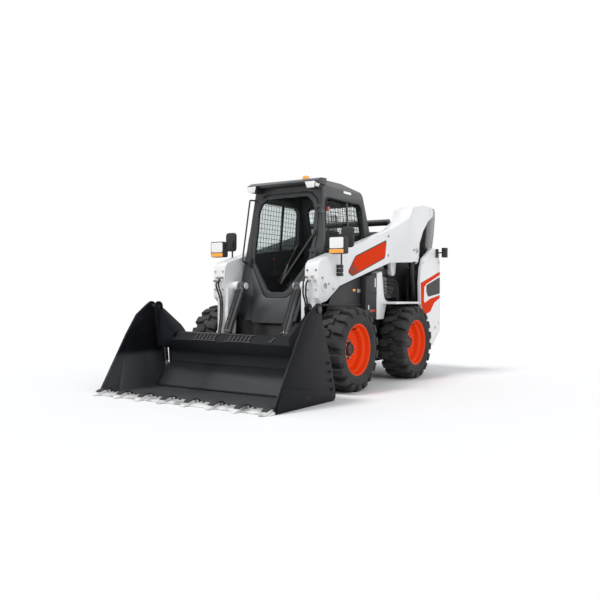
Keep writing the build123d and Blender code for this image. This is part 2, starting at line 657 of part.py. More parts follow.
def back_wing():
    """A sloping plate from the box up to the ear, and the ear, bored for two pins."""
    inner, ear_in = BACK_HALF - 215, BACK_HALF - 20
    slope = front_shape([(inner, 558), (ear_in, 792), (BACK_HALF, 792), (BACK_HALF, 812), (ear_in - 8, 812),
                         (inner, 575)], -905, -728)
    slope &= plate([(-905, 540), (-905, 800), (-880, 812), (-860, 812), (-740, 640), (-728, 556)], 0, BACK_HALF)
    front = front_shape([(inner, 430), (inner, 560), (ear_in, 800), (BACK_HALF, 800), (BACK_HALF, 430)], -921, -901)
    ear = plate([(-972, 822), (-868, 822), (-760, 690), (BACK_REAR, 560), (BACK_REAR, 66), (-730, 40),
                 (-760, 400), (-921, 430)], ear_in, BACK_HALF)
    ear += pin(CLAM_PIN, 54, ear_in, BACK_HALF)
    wing = fuse(slope, front, ear)
    wing -= pin(CLAM_PIN, CLAM_PIN_R + GAP, ear_in - 5, BACK_HALF + 5)
    wing -= pin(CLAM_CYL_HEAD, CLAM_CYL_PIN_R + GAP, ear_in - 5, BACK_HALF + 5)
    return both(wing)


def clam_pins():
    """The clam's hinge pins and its cylinders' head pins, held in the back's ears."""
    return [*both(pin(CLAM_PIN, CLAM_PIN_R, BACK_HALF - 22, BUCKET_HALF + 8)),
            *both(pin(CLAM_CYL_HEAD, CLAM_CYL_PIN_R, BACK_HALF - 22, CLAM_CYL_X + 26))]


def bucket_clam():
    """The swinging front: floor, side plates with round ears, and a gusset inside each."""
    wall_in = BUCKET_HALF - BUCKET_PLATE
    wall = plate([(-1572, 4), (-1572, 58), (-1466, 226), (-1260, 566), (-1128, 752), (-968, 866), (-872, 806),
                  (-866, 745), (-816, 620), (-703, 340), (-617, 62), (-640, 4)], wall_in, BUCKET_HALF)
    wall += pin(CLAM_PIN, 54, wall_in, BUCKET_HALF)
    gusset = front_shape([(wall_in + 1, 18), (wall_in - 66, 18), (wall_in + 1, 560)], -1400, -955)
    gusset &= plate([(-1400, 18), (-1238, 560), (-1190, 560), (-955, 57), (-955, 18)], 0, BUCKET_HALF)
    wall += gusset
    floor = plate([(-1572, 3), (-1560, 19), (-760, 19), (-744, 8), (-744, 3)], -BUCKET_HALF + 1, BUCKET_HALF - 1)
    clam = fuse(floor, *both(wall))
    for hole in both(pin(CLAM_PIN, CLAM_PIN_R + GAP, wall_in - 5, BUCKET_HALF + 5)):
        clam -= hole
    return clam


def cutting_edge():
    half = BUCKET_HALF - 1
    inside = BUCKET_HALF - BUCKET_PLATE - GAP
    blade = plate([(-1640, 3), (-1640, 10), (-1600, 24), (-1572 - GAP, 24), (-1572 - GAP, 3)], -half, half)
    return blade + plate([(-1573, 19 + GAP), (-1573, 24), (-1480, 24), (-1480, 19 + GAP)], -inside, inside)


def bucket_teeth():
    last = BUCKET_HALF - 52
    teeth = []
    pitch = 2 * last / (TOOTH_COUNT - 1)
    for number in range(TOOTH_COUNT):
        x = -last + pitch * number
        tooth = plan_shape([(x - 22, TOOTH_TIP_Y), (x + 22, TOOTH_TIP_Y), (x + 30, -1600), (x + 30, -1520),
                            (x - 30, -1520), (x - 30, -1600)], 0, 80)
        tooth &= plate([(TOOTH_TIP_Y, 3), (TOOTH_TIP_Y, 12), (-1600, 46), (-1520, 46), (-1520, 24 + GAP),
                        (-1600 - GAP, 24 + GAP), (-1640 - GAP, 10 + GAP), (-1640 - GAP, 3)],
                       -BUCKET_HALF, BUCKET_HALF)
        teeth.append(tooth)
    return teeth


# ------------------------------------------------------------- lamps and trim
def beacon():
    stand_on = (Align.CENTER, Align.CENTER, Align.MIN)
    base = Pos(0, 440, 2178) * Cylinder(52, 20, align=stand_on)
    dome = Pos(0, 440, 2196) * Cylinder(45, 88, align=stand_on)
    return (base + dome) - cab_body(-GAP)


def roof_lamps():
    """Work lamps under the brow's corners, narrower at the foot."""
    outer = CAB_HALF - 36
    lamp = front_shape([(outer - 104, 2062), (outer - 124, 2128), (outer, 2128), (outer - 14, 2062)], -70, 120)
    lamp &= plate([(-56, 2062), (-66, 2128), (120, 2128), (120, 2062)], 0, CAB_HALF)
    brow = plate([(-31, 2104 - GAP), (-50, 2129), (160, 2200), (160, 2104 - GAP)], 0, CAB_HALF)
    return both(lamp - brow - cab_body(-GAP))


def grab_handle():
    """A tall loop on the right pillar, the side that the door opens on."""
    foot, head = -CAB_HALF + 15, -CAB_HALF + 45
    shape = bar((head, 90, 1990), (head, -25, 1985), 9)
    shape += bar((head, -25, 1994), (foot, -110, 1330), 9)
    shape += bar((foot, -110, 1322), (foot + 15, 30, 1290), 9)
    return shape - cab_body(-GAP)


def seat():
    pan = block(-240, 240, 330, 800, 1010, 1110)
    back = plate([(720, 1100), (800, 1720), (880, 1730), (840, 1100)], -230, 230)
    return pan + back


def seat_base():
    return block(-200, 200, 400, 790, CAB_FLOOR + GAP, 1010 - GAP)


def controls():
    pieces = []
    for side in (1, -1):
        ends = sorted((side * 265, side * 345))
        pod = block(*ends, 250, 720, 1150, 1200) + block(*ends, 600, 700, CAB_FLOOR + GAP, 1160)
        pod += bar((side * 305, 290, 1195), (side * 305, 270, 1320), 14)
        pieces.append(pod)
    return pieces


def engine_block():
    return block(-260, 260, 1240, 2000, HULL_TOP + GAP, 1330)


def arm_lamps():
    near = ARM_OUT + 12
    housing = block(near, near + 180, -185, -95, 1365, 1535)
    stalk = bar((near + 33, 20, 1150), (near + 33, 20, 1560), 9)
    link = block(near + 25, near + 41, -100, 25, 1440, 1456)
    clamp = block(ARM_OUT + GAP, near + 45, -5, 45, 1150, 1265)
    return both(fuse(housing, stalk, link, clamp))


def arm_mirrors():
    near = ARM_OUT + 25
    head = block(near, near + 140, 45, 80, 1440, 1650)
    head += block(near + 29 + GAP, near + 60, 12, 46, 1530, 1546)
    return both(head)


def rear_lamps():
    """Lamp on a thin arm, with its foot on the tail's outer plate."""
    out, y = TAIL_OUT, TAIL_END_Y - 120
    lamp = block(out + 75, out + 135, y - 30, y + 30, 1440, 1560) + block(out + 2, out + 80, y - 10, y + 10, 1492, 1508)
    lamp += block(out + GAP, out + 12, y - 40, y + 40, 1440, 1520)
    return both(lamp)


def wiper():
    """Arm and blade over the door's glass, with the motor's boss on the frame."""
    at = CAB_HALF - 86
    arm = plate([(y - 22, z) for y, z in FRONT_LINE[1:3]] + [(y - 10, z) for y, z in reversed(FRONT_LINE[1:3])],
                -CAB_HALF, CAB_HALF)
    arm &= front_shape([(at - 10, 1606), (at + 10, 1594), (60, 1075), (44, 1084)], -400, 300)
    blade = plate([(y - 9, z) for y, z in FRONT_LINE[1:3]] + [(y + 6 - GAP, z) for y, z in reversed(FRONT_LINE[1:3])],
                  -CAB_HALF, CAB_HALF)
    blade &= front_shape([(190, 1480), (200, 1475), (22, 1092), (12, 1098)], -400, 300)
    link = front_skin(-15, 8) & front_shape([(44, 1074), (66, 1066), (114, 1272), (96, 1284)], -400, 300)
    boss = front_skin(-24, 20 - GAP) & front_shape([(at - 14, 1580), (at + 14, 1580), (at + 14, 1628),
                                                    (at - 14, 1628)], -400, 300)
    return fuse(arm, blade, link, boss)


# ----------------------------------------------------------------------- write
os.makedirs("parts", exist_ok=True)

save("main_frame", main_frame())
save("side_covers", *side_covers())
save("tower_covers", *tower_covers())
save("axle_housings", *axle_housings())
outer_plate, corner_post, *others = [mirrored(shape) for shape in rear_frame()]
save("rear_frame", *rear_frame(), outer_plate, corner_post + gate_knuckles(0), *others)
save("tail_inner_plates", *tail_inner_plates())
save("engine_bay", *engine_bay())
save("fenders", *fenders())
save("engine_deck", engine_deck())
save("engine_block", engine_block())
save("cab_shell", cab_shell())
save("side_windows", *side_windows())
save("side_screens", *side_screens())
save("rear_window", rear_window())
save("seat", seat())
save("seat_base", seat_base())
save("controls", *controls())
save("beacon", beacon())
save("roof_lamps", *roof_lamps())
save("grab_handle", grab_handle())
save("rear_lamps", *rear_lamps())
save("hood_lid", hood_lid())
save("tailgate", tailgate())
save("front_panel", front_panel())
save("door_frame", door_frame())
save("door_glass", door_glass())
save("wiper", wiper())

wheel_tyre, wheel_rim = tyre(), rim() + hub()
for name, y, side in (("front_left", 0, 1), ("front_right", 0, -1),
                      ("rear_left", WHEELBASE, 1), ("rear_right", WHEELBASE, -1)):
    for kind, shape in (("tyre", wheel_tyre), ("rim", wheel_rim)):
        placed = Pos(TYRE_MID_X, y, TYRE_R) * shape
        save(f"{kind}_{name}", placed if side > 0 else mirrored(placed))

save("rear_links", *both(rear_link()))
save("lift_arms", *both(lift_arm()))
save("cross_tubes", *cross_tubes())
save("arm_lamps", *arm_lamps())
save("arm_mirrors", *arm_mirrors())
save("control_links", *both(control_link()))

for name, foot, head, x, radii, lengths, pin_r, eyes in (
        # radii of barrel and rod; barrel length, rod start; half width and radius of each eye
        ("lift", LIFT_FOOT, LIFT_HEAD, FORK_MID, (38, 24), (956, 80), 24, (38, 52, 34, 48)),
        ("tilt", TILT_HEAD, TILT_FOOT, TILT_X, (40, 21), (550, 145), 18, (38, 42, 27, 28)),
        ("clam", CLAM_CYL_HEAD, CLAM_CYL_FOOT, CLAM_CYL_X, (28, 15), (390, 40), CLAM_CYL_PIN_R, (24, 30, 22, 26))):
    barrel_half, barrel_eye, rod_half, rod_eye = eyes
    save(f"{name}_barrels", *both(barrel(foot, head, x, radii[0], lengths[0], radii[1], pin_r, barrel_half, barrel_eye)))
    save(f"{name}_rods", *both(rod(foot, head, x, radii[1], lengths[1], rod_half, rod_eye)))

save("quick_attach", quick_attach())
save("bucket_back", bucket_back())
save("bucket_clam", bucket_clam())
save("clam_pins", *clam_pins())
save("cutting_edge", cutting_edge())
save("bucket_teeth", *bucket_teeth())
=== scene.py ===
"""Looks of the skid steer loader: finishes, tyres, glass, lamps, hoses, fasteners and the seat.

Metres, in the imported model's frame. +X is the machine's left, -Y its front, +Z up.
Points are (x, y, z) with y from the front axle, as in the part's source. place() moves them into the frame.
"""
import json
from math import cos, exp, pi, radians, sin

import bmesh
import bpy
from mathutils import Matrix, Vector

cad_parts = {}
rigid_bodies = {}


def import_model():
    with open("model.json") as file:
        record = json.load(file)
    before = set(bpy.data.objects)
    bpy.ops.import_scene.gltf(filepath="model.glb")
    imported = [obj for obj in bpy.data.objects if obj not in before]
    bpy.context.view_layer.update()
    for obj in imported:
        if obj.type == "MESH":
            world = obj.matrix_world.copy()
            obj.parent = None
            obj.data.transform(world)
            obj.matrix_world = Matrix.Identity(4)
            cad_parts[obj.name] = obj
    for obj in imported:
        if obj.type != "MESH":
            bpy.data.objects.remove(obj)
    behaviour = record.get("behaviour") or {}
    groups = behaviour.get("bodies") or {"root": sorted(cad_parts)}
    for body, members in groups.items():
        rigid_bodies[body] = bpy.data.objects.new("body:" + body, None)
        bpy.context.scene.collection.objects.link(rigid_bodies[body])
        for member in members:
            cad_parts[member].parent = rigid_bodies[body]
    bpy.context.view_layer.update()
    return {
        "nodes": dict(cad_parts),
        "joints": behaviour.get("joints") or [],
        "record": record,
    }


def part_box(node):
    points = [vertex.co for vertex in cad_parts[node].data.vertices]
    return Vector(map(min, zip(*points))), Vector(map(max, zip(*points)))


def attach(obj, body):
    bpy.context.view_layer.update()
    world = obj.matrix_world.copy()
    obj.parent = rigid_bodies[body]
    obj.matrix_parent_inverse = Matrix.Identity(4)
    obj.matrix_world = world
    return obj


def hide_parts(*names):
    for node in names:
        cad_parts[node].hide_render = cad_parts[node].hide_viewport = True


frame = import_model()

NODE_BODY = {node: body for body, nodes in frame["record"]["behaviour"]["bodies"].items() for node in nodes}


def middle(node):
    """The centre of a CAD node's box."""
    low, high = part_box(node)
    return (Vector(low) + Vector(high)) / 2


AXLE_Y = middle("tyre_front_left").y
TYRE_HALF = (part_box("tyre_front_left")[1][0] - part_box("tyre_front_left")[0][0]) / 2

# Outer faces that fittings sit on.
ARM_FACE = 0.655              # the arm's beam
FORK_FACE = 0.790             # the fork at the arm's rear
FORK_INNER = 0.640            # and its inner face
LEG_FACE = 0.600              # the arm's front leg
CLAM_FACE = 1.016             # the bucket's side plates
TOWER_FACE = 0.652            # the dark cover between the wheels
COVER_FACE = 0.586            # the long cover in front of it
TAIL_FACE = 0.830             # the tail's outer plate
GATE_FACE = 2.318             # the tailgate, as y
KNUCKLE_FACE = -0.352         # the front of the arm's knuckle, as y
OFF = 0.0002                  # how far thin panels stand off what they lie on
OUTWARD, FORWARD = (1, 0, 0), (0, -1, 0)

# Pins, as (y, z).
_, pin_y, pin_z = next(joint["pos_m"] for joint in frame["joints"] if joint["name"] == "arm_lift")
ARM_PIN = (pin_y - AXLE_Y, pin_z)
LIFT_HEAD, LIFT_FOOT = (1.670, 1.500), (1.930, 0.450)
TILT_HEAD, TILT_FOOT = (-0.235, 1.048), (-0.540, 0.445)
CARRIER_PIN, CLAM_PIN = (-0.500, 0.220), (-0.920, 0.830)


def place(x, y, z):
    """A point with y from the front axle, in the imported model's frame."""
    return Vector((x, y + AXLE_Y, z))


def titled(word):
    """A word such as first_turn as its socket is called."""
    return word.replace("_", " ").title().replace("Ior", "IOR")


def linked(name, data):
    """A new object, put into the scene."""
    made = bpy.data.objects.new(name, data)
    bpy.context.scene.collection.objects.link(made)
    return made


def evaluated(holder):
    """The mesh of an object with its modifiers applied."""
    return bpy.data.meshes.new_from_object(holder.evaluated_get(bpy.context.evaluated_depsgraph_get()))


def written(work, mesh=None):
    """A bmesh as a mesh."""
    mesh = mesh or bpy.data.meshes.new("form")
    work.to_mesh(mesh)
    work.free()
    return mesh


# ------------------------------------------------------------------- node trees
class Value:
    """A socket that can be written into sums. Each operator adds one Math node."""

    def __init__(self, nodes, socket):
        self.nodes, self.socket = nodes, socket

    def math(self, operation, *values):
        return self.nodes.node("ShaderNodeMath", dict(enumerate(values)), operation=operation)

    def __add__(self, other):
        return self.math("ADD", self, other)

    def __radd__(self, other):
        return self.math("ADD", other, self)

    def __rsub__(self, other):
        return self.math("SUBTRACT", other, self)

    def __mul__(self, other):
        return self.math("MULTIPLY", self, other)

    def __rmul__(self, other):
        return self.math("MULTIPLY", other, self)

    def __truediv__(self, other):
        return self.math("DIVIDE", self, other)

    def __abs__(self):
        return self.math("ABSOLUTE", self)

    def wave(self):
        return self.math("SINE", self)

    def at_most(self, other):
        return self.math("MINIMUM", self, other)


class Nodes:
    """A node tree being made, with one method for its nodes."""

    def __init__(self, tree):
        self.tree = tree
        tree.nodes.clear()

    def node(self, kind, sockets=None, output=0, **settings):
        """Adds a node. A socket takes a number, a colour, a value, or a list of values to join."""
        made = self.tree.nodes.new(kind)
        for key, value in settings.items():
            setattr(made, key, value)
        for key, value in (sockets or {}).items():
            if isinstance(value, (Value, list)):
                for each in value if isinstance(value, list) else [value]:
                    self.tree.links.new(each.socket, made.inputs[key])
            else:
                made.inputs[key].default_value = value
        return Value(self, made.outputs[output]) if made.outputs else None


class Finish(Nodes):
    """A material being made."""

    def __init__(self, name):
        self.material = bpy.data.materials.new(name)
        self.material.use_nodes = True
        super().__init__(self.material.node_tree)
        self.place = self.node("ShaderNodeTexCoord", output="Object")

    def axis(self, letter):
        """One coordinate of the object's own place."""
        return self.node("ShaderNodeSeparateXYZ", {0: self.place}, letter)

    def noise(self, scale, detail=3.0, stretch=None):
        vector = self.place
        if stretch:
            vector = self.node("ShaderNodeMapping", {"Vector": vector, "Scale": stretch})
        return self.node("ShaderNodeTexNoise", {"Vector": vector, "Scale": scale, "Detail": detail})

    def mix(self, factor, first, second):
        first, second = [(*c, 1) if isinstance(c, tuple) else c for c in (first, second)]
        return self.node("ShaderNodeMix", {0: factor, 6: first, 7: second}, 2, data_type="RGBA")

    def span(self, value, low, high, foot=0.0):
        """From foot to 1 as the value goes from low to high."""
        sockets = {"Value": value, 1: low, 2: high, 3: foot, 4: 1.0}
        return self.node("ShaderNodeMapRange", sockets, interpolation_type="SMOOTHSTEP")

    def bump(self, height, strength, distance):
        return self.node("ShaderNodeBump", {"Height": height, "Strength": strength, "Distance": distance})

    def surface(self, **sockets):
        """The Principled shader and the output, from words such as base_color."""
        return self.close(self.node("ShaderNodeBsdfPrincipled", {titled(key): value for key, value in sockets.items()}))

    def close(self, shader):
        self.node("ShaderNodeOutputMaterial", {"Surface": shader})
        return self.material


# -------------------------------------------------------------------- finishes
DUST = (0.30, 0.27, 0.22)


def paint(name, colour, roughness=0.32, coat=0.25, dust=0.25, peel=0.02, fade=0.06, specular=0.5):
    """Sprayed steel: a little orange peel, uneven gloss, and dust that thickens towards the floor."""
    f = Finish(name)
    patches = f.noise(2.2, 4)
    grime = f.noise(9, 5) * f.span(f.axis("Z"), 1.1, 0.05) * dust
    dark = tuple(c * (1 - fade) for c in colour)
    shade = f.mix(f.span(patches, 0.35, 0.7), colour, dark)
    shade = f.mix(f.span(grime, 0.08, 0.6), shade, DUST)
    gloss = roughness + patches * 0.08 + grime * 0.5
    return f.surface(base_color=shade, roughness=gloss, specular_ior_level=specular, coat_weight=coat,
                     coat_roughness=0.12, normal=f.bump(f.noise(260, 2), peel, 0.0006))


def worn_black(name, colour, pale_grey, amount):
    """Black paint on the bucket: fine scratches along its travel, dull patches and a lighter grey low inside."""
    f = Finish(name)
    lines = f.noise(14, 6, (9.0, 0.7, 1.2))
    patches = f.noise(1.7, 5)
    marks = f.span(lines, 0.62, 0.74) * f.span(patches, 0.42, 0.62) * amount
    shade = f.mix(f.span(patches, 0.3, 0.7), colour, tuple(c * 1.6 for c in colour))
    # Inside the side plates and below about 0.33 to 0.40 m up, the black turns lighter grey in patches.
    within = f.span(abs(f.axis("X")), 1.010, 0.995) * f.span(f.axis("Z"), 0.40, 0.33)
    lighter_low_inside = within * f.span(patches, 0.2, 0.5, 0.6)
    shade = f.mix(lighter_low_inside, shade, tuple(c * 0.85 for c in pale_grey))
    shade = f.mix(marks, shade, pale_grey)
    gloss = 0.40 + patches * 0.16 + marks * 0.15
    return f.surface(base_color=shade, roughness=gloss, specular_ior_level=0.14, coat_weight=0.0,
                     coat_roughness=0.25, normal=f.bump(f.noise(180, 3) + lines * 0.4, 0.10, 0.0008))


def moulded(name, colour, roughness=0.55, grain=420):
    """Moulded plastic with a fine leather grain."""
    f = Finish(name)
    height = f.node("ShaderNodeTexVoronoi", {"Vector": f.place, "Scale": grain}, "Distance")
    shade = f.mix(f.noise(3, 4), colour, tuple(c * 1.35 for c in colour))
    return f.surface(base_color=shade, roughness=roughness + f.noise(6, 3) * 0.12,
                     normal=f.bump(height, 0.18, 0.0006))


def rubber():
    """Tyre rubber with dust in its grain."""
    f = Finish("tyre_rubber")
    fine, broad = f.noise(130, 5), f.noise(5, 4)
    shade = f.mix(f.span(broad, 0.35, 0.7), (0.014, 0.014, 0.015), (0.034, 0.033, 0.032))
    shade = f.mix(f.span(fine * broad, 0.30, 0.46) * 0.5, shade, (0.075, 0.07, 0.062))
    return f.surface(base_color=shade, roughness=0.62 + broad * 0.2,
                     normal=f.bump(fine, 0.35, 0.0016))


def bare_steel(name, colour=(0.50, 0.50, 0.51), low=0.24, high=0.48, along=(1.0, 12.0, 12.0), metallic=0.92):
    """Steel rubbed bright, with the marks of the ground on it."""
    f = Finish(name)
    lines = f.noise(26, 6, along)
    spots = f.noise(7, 5)
    shade = f.mix(f.span(spots, 0.45, 0.68), colour, tuple(c * 0.42 for c in colour))
    return f.surface(base_color=shade, metallic=metallic, roughness=low + (high - low) * lines + spots * 0.12,
                     normal=f.bump(lines, 0.22, 0.0008))


def glass(name, tint):
    """A tinted pane: mostly clear, with a mirror's sheen at a glancing look."""
    f = Finish(name)
    smear = f.noise(3.5, 4)
    clear = f.node("ShaderNodeBsdfTransparent", {"Color": (*tint, 1)})
    sheen = f.node("ShaderNodeBsdfPrincipled", {
        "Base Color": (*(c * 0.05 for c in tint), 1), "Roughness": 0.03 + smear * 0.05, "IOR": 1.5})
    edge = f.node("ShaderNodeFresnel", {"IOR": 1.5})
    leaving = f.node("ShaderNodeNewGeometry", output="Backfacing")
    factor = (edge * 1.2 * (1.0 - leaving)).at_most(1.0)
    return f.close(f.node("ShaderNodeMixShader", {0: factor, 1: clear, 2: sheen}))


def lens(name, colour, glow, ribs=90.0):
    """A lamp lens with fine vertical ribs, a little lit. On reflectors, the exit knob and the red strips, which are no
    lamps, the glow is painted light.
    """
    f = Finish(name)
    ridges = (f.axis("X") * (ribs * 2 * pi)).wave() + (f.axis("Z") * (ribs * 2 * pi)).wave()
    shade = f.mix(f.span(ridges, -1.4, 1.6), tuple(c * 0.72 for c in colour), colour)
    return f.surface(base_color=shade, roughness=0.10 + f.noise(40, 2) * 0.08, coat_weight=0.8,
                     coat_roughness=0.04, emission_color=shade, emission_strength=glow,
                     normal=f.bump(ridges, 0.35, 0.0012))


def fabric(name, colour):
    """Woven seat cloth: crossed threads read from the cushion's own place."""
    f = Finish(name)
    threads = 1800.0          # as an angle per metre
    warp = (f.axis("X") * threads).wave()
    weft = ((f.axis("Y") + f.axis("Z")) * threads).wave()
    weave = abs(warp) * 0.5 + abs(weft) * 0.5
    fuzz = f.noise(220, 4)
    shade = f.mix(weave, tuple(c * 0.55 for c in colour), tuple(c * 1.5 for c in colour))
    shade = f.mix(f.span(f.noise(6, 3), 0.4, 0.7) * 0.35, shade, tuple(c * 2.0 for c in colour))
    return f.surface(base_color=shade, roughness=0.86, sheen_weight=0.35, sheen_roughness=0.5,
                     normal=f.bump(weave + fuzz * 0.6, 0.5, 0.0008))


WHITE = paint("white_paint", (0.88, 0.887, 0.897), 0.32, 0.30, dust=0.07)
ORANGE = paint("orange_paint", (0.93, 0.062, 0.001), 0.42, 0.04, dust=0.04, specular=0.2)
DECAL = paint("panel_orange", (0.78, 0.040, 0.001), 0.62, 0.0, dust=0.0, peel=0.0, specular=0.1)
ORANGE_DEEP = paint("orange_panel_corner", (0.34, 0.028, 0.006), 0.6, 0.0, dust=0.0)
CHARCOAL = paint("cab_paint", (0.026, 0.028, 0.031), 0.38, 0.2, dust=0.06, fade=0.2)
NOSE_GREY = paint("nose_panel", (0.034, 0.036, 0.040), 0.42, 0.15, dust=0.08, fade=0.2)
BLACK = paint("black_steel", (0.014, 0.014, 0.016), 0.34, 0.25, dust=0.06, fade=0.2)
LINK_BLACK = paint("link_gloss", (0.010, 0.010, 0.012), 0.18, 0.6, dust=0.02, fade=0.2)
CYLINDER = paint("cylinder_grey", (0.045, 0.047, 0.050), 0.36, 0.3, dust=0.08, fade=0.15)
COVER = moulded("dark_cover", (0.022, 0.023, 0.025), 0.5, 300)
PLASTIC = moulded("dark_plastic", (0.018, 0.018, 0.020))
IRON = paint("engine_iron", (0.05, 0.05, 0.052), 0.6, 0.0, dust=0.3, peel=0.2)
CAST = paint("valve_casting", (0.20, 0.20, 0.205), 0.45, 0.0, dust=0.2, peel=0.2)
BUCKET = worn_black("bucket_paint", (0.0045, 0.0050, 0.0075), (0.07, 0.074, 0.082), 0.35)
# Cutting edge and teeth: worn steel whose whiteness is partly a painted reflection of white surroundings, made by
# raising the colour and lowering the metal.
EDGE = bare_steel("worn_steel", (0.80, 0.80, 0.80), 0.30, 0.50, metallic=0.35)
SHANK = bare_steel("tooth_shank", (0.014, 0.014, 0.016), 0.4, 0.6, metallic=0.1)
BOLT = bare_steel("zinc_fastener", (0.56, 0.55, 0.52), 0.26, 0.42, (6.0, 6.0, 6.0))
BOLT_BLACK = paint("black_fastener", (0.022, 0.022, 0.024), 0.45, 0.0, dust=0.05)
CHROME = bare_steel("chrome_rod", (0.72, 0.72, 0.74), 0.06, 0.14, (2.0, 2.0, 30.0))
RUBBER = rubber()
HOSE = moulded("hose_rubber", (0.013, 0.013, 0.014), 0.6, 900)
DOOR_GLASS = glass("door_glass_tint", (0.86, 0.89, 0.89))
SIDE_GLASS = glass("side_glass_tint", (0.95, 0.965, 0.96))
MIRROR = bare_steel("mirror_silver", (0.78, 0.80, 0.82), 0.03, 0.06, (1.0, 1.0, 1.0))
AMBER = lens("amber_lens", (0.95, 0.36, 0.03), 0.35, 60)
AMBER_DARK = lens("beacon_base", (0.34, 0.09, 0.01), 0.05, 40)
# Reflectors are no lamps: their glow is painted light.
REFLECTOR = lens("reflector", (0.84, 0.84, 0.83), 0.15, 260)
LAMP = lens("lamp_lens", (0.86, 0.87, 0.84), 0.25, 110)
# On the exit knob and the tower's red strips, which are no lamps, its glow is painted light.
RED = lens("red_lens", (0.62, 0.02, 0.015), 0.05, 160)
CLOTH = fabric("seat_fabric", (0.030, 0.031, 0.034))
TRIM = moulded("seat_vinyl", (0.020, 0.020, 0.022), 0.48, 520)

# ------------------------------------------------------------------ mesh making
SHARP_ANGLE = radians(34)


def done(name, mesh, finish, body, stands_for=()):
    """Turns a finished mesh into a piece on its body."""
    mesh.materials.clear()
    mesh.materials.append(finish)
    mesh.shade_smooth()
    mesh.set_sharp_from_angle(angle=SHARP_ANGLE)
    piece = linked(name, mesh)
    if stands_for:
        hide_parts(*stands_for)
    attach(piece, body)
    return piece


def baked(mesh, *modifiers):
    """The mesh with these modifiers applied, each as (kind, settings)."""
    holder = linked("holder", mesh)
    for kind, settings in modifiers:
        modifier = holder.modifiers.new(kind.lower(), kind)
        for key, value in settings.items():
            setattr(modifier, key, value)
    made = evaluated(holder)
    bpy.data.objects.remove(holder)
    made.materials.clear()
    return made


def bevel(width, segments, angle):
    """A modifier for baked() that rounds edges sharper than angle, in degrees."""
    return "BEVEL", dict(width=width, segments=segments, limit_method="ANGLE", angle_limit=radians(angle),
                         use_clamp_overlap=True)


def eased(mesh, width, segments=2):
    """The mesh with its sharp edges rounded and its flat faces kept flat. A width of 0 leaves it."""
    if not width:
        return baked(mesh)
    return baked(mesh, bevel(width, segments, 28), ("WEIGHTED_NORMAL", dict(keep_sharp=True)))


def dress(node, finish, ease):
    """A CAD node's own shape with its edges eased."""
    mesh = frame["nodes"][node].data.copy()
    work = bmesh.new()
    work.from_mesh(mesh)
    bmesh.ops.remove_doubles(work, verts=work.verts, dist=1e-5)
    bmesh.ops.dissolve_limit(work, angle_limit=radians(1.5), verts=work.verts, edges=work.edges)
    done(f"{node}_skin", eased(written(work, mesh), ease), finish, NODE_BODY[node], (node,))


def corners_of(geometry):
    """The vertices in what a mesh operator gives back."""
    return [part for part in geometry if isinstance(part, bmesh.types.BMVert)]


class Form:
    """Closed shapes gathered into one piece."""

    def __init__(self):
        self.mesh = bmesh.new()

    def prism(self, outline, away):
        """A polygon of points, pulled out along a vector."""
        face = self.mesh.faces.new([self.mesh.verts.new(place(*at)) for at in outline])
        pulled = bmesh.ops.extrude_face_region(self.mesh, geom=[face])["geom"]
        bmesh.ops.translate(self.mesh, vec=Vector(away), verts=corners_of(pulled))
        return self

    def side(self, outline, x_from, x_to):
        """A plate seen from the side, from (y, z) corners."""
        return self.prism([(x_from, y, z) for y, z in outline], (x_to - x_from, 0, 0))

    def front(self, outline, y, depth):
        """A plate seen from the front, from (x, z) corners."""
        return self.prism([(x, y, z) for x, z in outline], (0, depth, 0))

    def box(self, low, high):
        """A block between two opposite corners."""
        (x0, y0, z0), (x1, y1, z1) = low, high
        return self.side(corners(y0, y1, z0, z1), x0, x1)

    def rod(self, start, end, radius, sides=20, top=None):
        """A round bar, or a cone when top is given, between points of the frame itself."""
        line = Vector(end) - Vector(start)
        turn = line.to_track_quat("Z", "Y").to_matrix().to_4x4()
        bmesh.ops.create_cone(self.mesh, cap_ends=True, segments=sides, radius1=radius,
                              radius2=radius if top is None else top, depth=line.length,
                              matrix=Matrix.Translation((Vector(start) + Vector(end)) / 2) @ turn)
        return self

    def bar(self, start, end, radius, sides=20, top=None):
        """A rod between points with y from the front axle."""
        return self.rod(place(*start), place(*end), radius, sides, top)

    def pin(self, at, radius, x_from, x_to, sides=28):
        """A round bar along X at (y, z)."""
        return self.bar((x_from, *at), (x_to, *at), radius, sides)

    def turned(self, profile, centre, steps, axis="X"):
        """A closed profile of (along, radius) corners, turned about an axis X or Z through centre."""
        across, up = Vector((1, 0, 0)), Vector((0, 0, 1))
        direction, out = (across, up) if axis == "X" else (up, across)
        rings = []
        for step in range(steps):
            turn = Matrix.Rotation(2 * pi * step / steps, 3, direction)
            rings.append([self.mesh.verts.new(Vector(centre) + direction * a + turn @ out * r) for a, r in profile])
        for here, there in zip(rings, rings[1:] + rings[:1]):
            strip(self.mesh, here, there)
        return self

    def mirrored(self):
        """Adds the other side of the machine."""
        copy = bmesh.ops.duplicate(self.mesh, geom=self.mesh.verts[:] + self.mesh.edges[:] + self.mesh.faces[:])
        bmesh.ops.scale(self.mesh, vec=(-1, 1, 1), verts=corners_of(copy["geom"]))
        return self

    def plain(self):
        """The gathered mesh, its faces turned outwards."""
        bmesh.ops.recalc_face_normals(self.mesh, faces=self.mesh.faces)
        return written(self.mesh)

    def piece(self, name, body, finish, ease=0.002, slot=None, stands_for=(), segments=2):
        return done(name, eased(self.plain(), ease, segments), finish, body, stands_for)


def strip(mesh, here, there):
    """Faces between two closed rings of corners."""
    for k in range(len(here)):
        n = (k + 1) % len(here)
        mesh.faces.new((here[k], here[n], there[n], there[k]))


def corners(a0, a1, b0, b1):
    """A rectangle's flat corners."""
    return [(a0, b0), (a1, b0), (a1, b1), (a0, b1)]


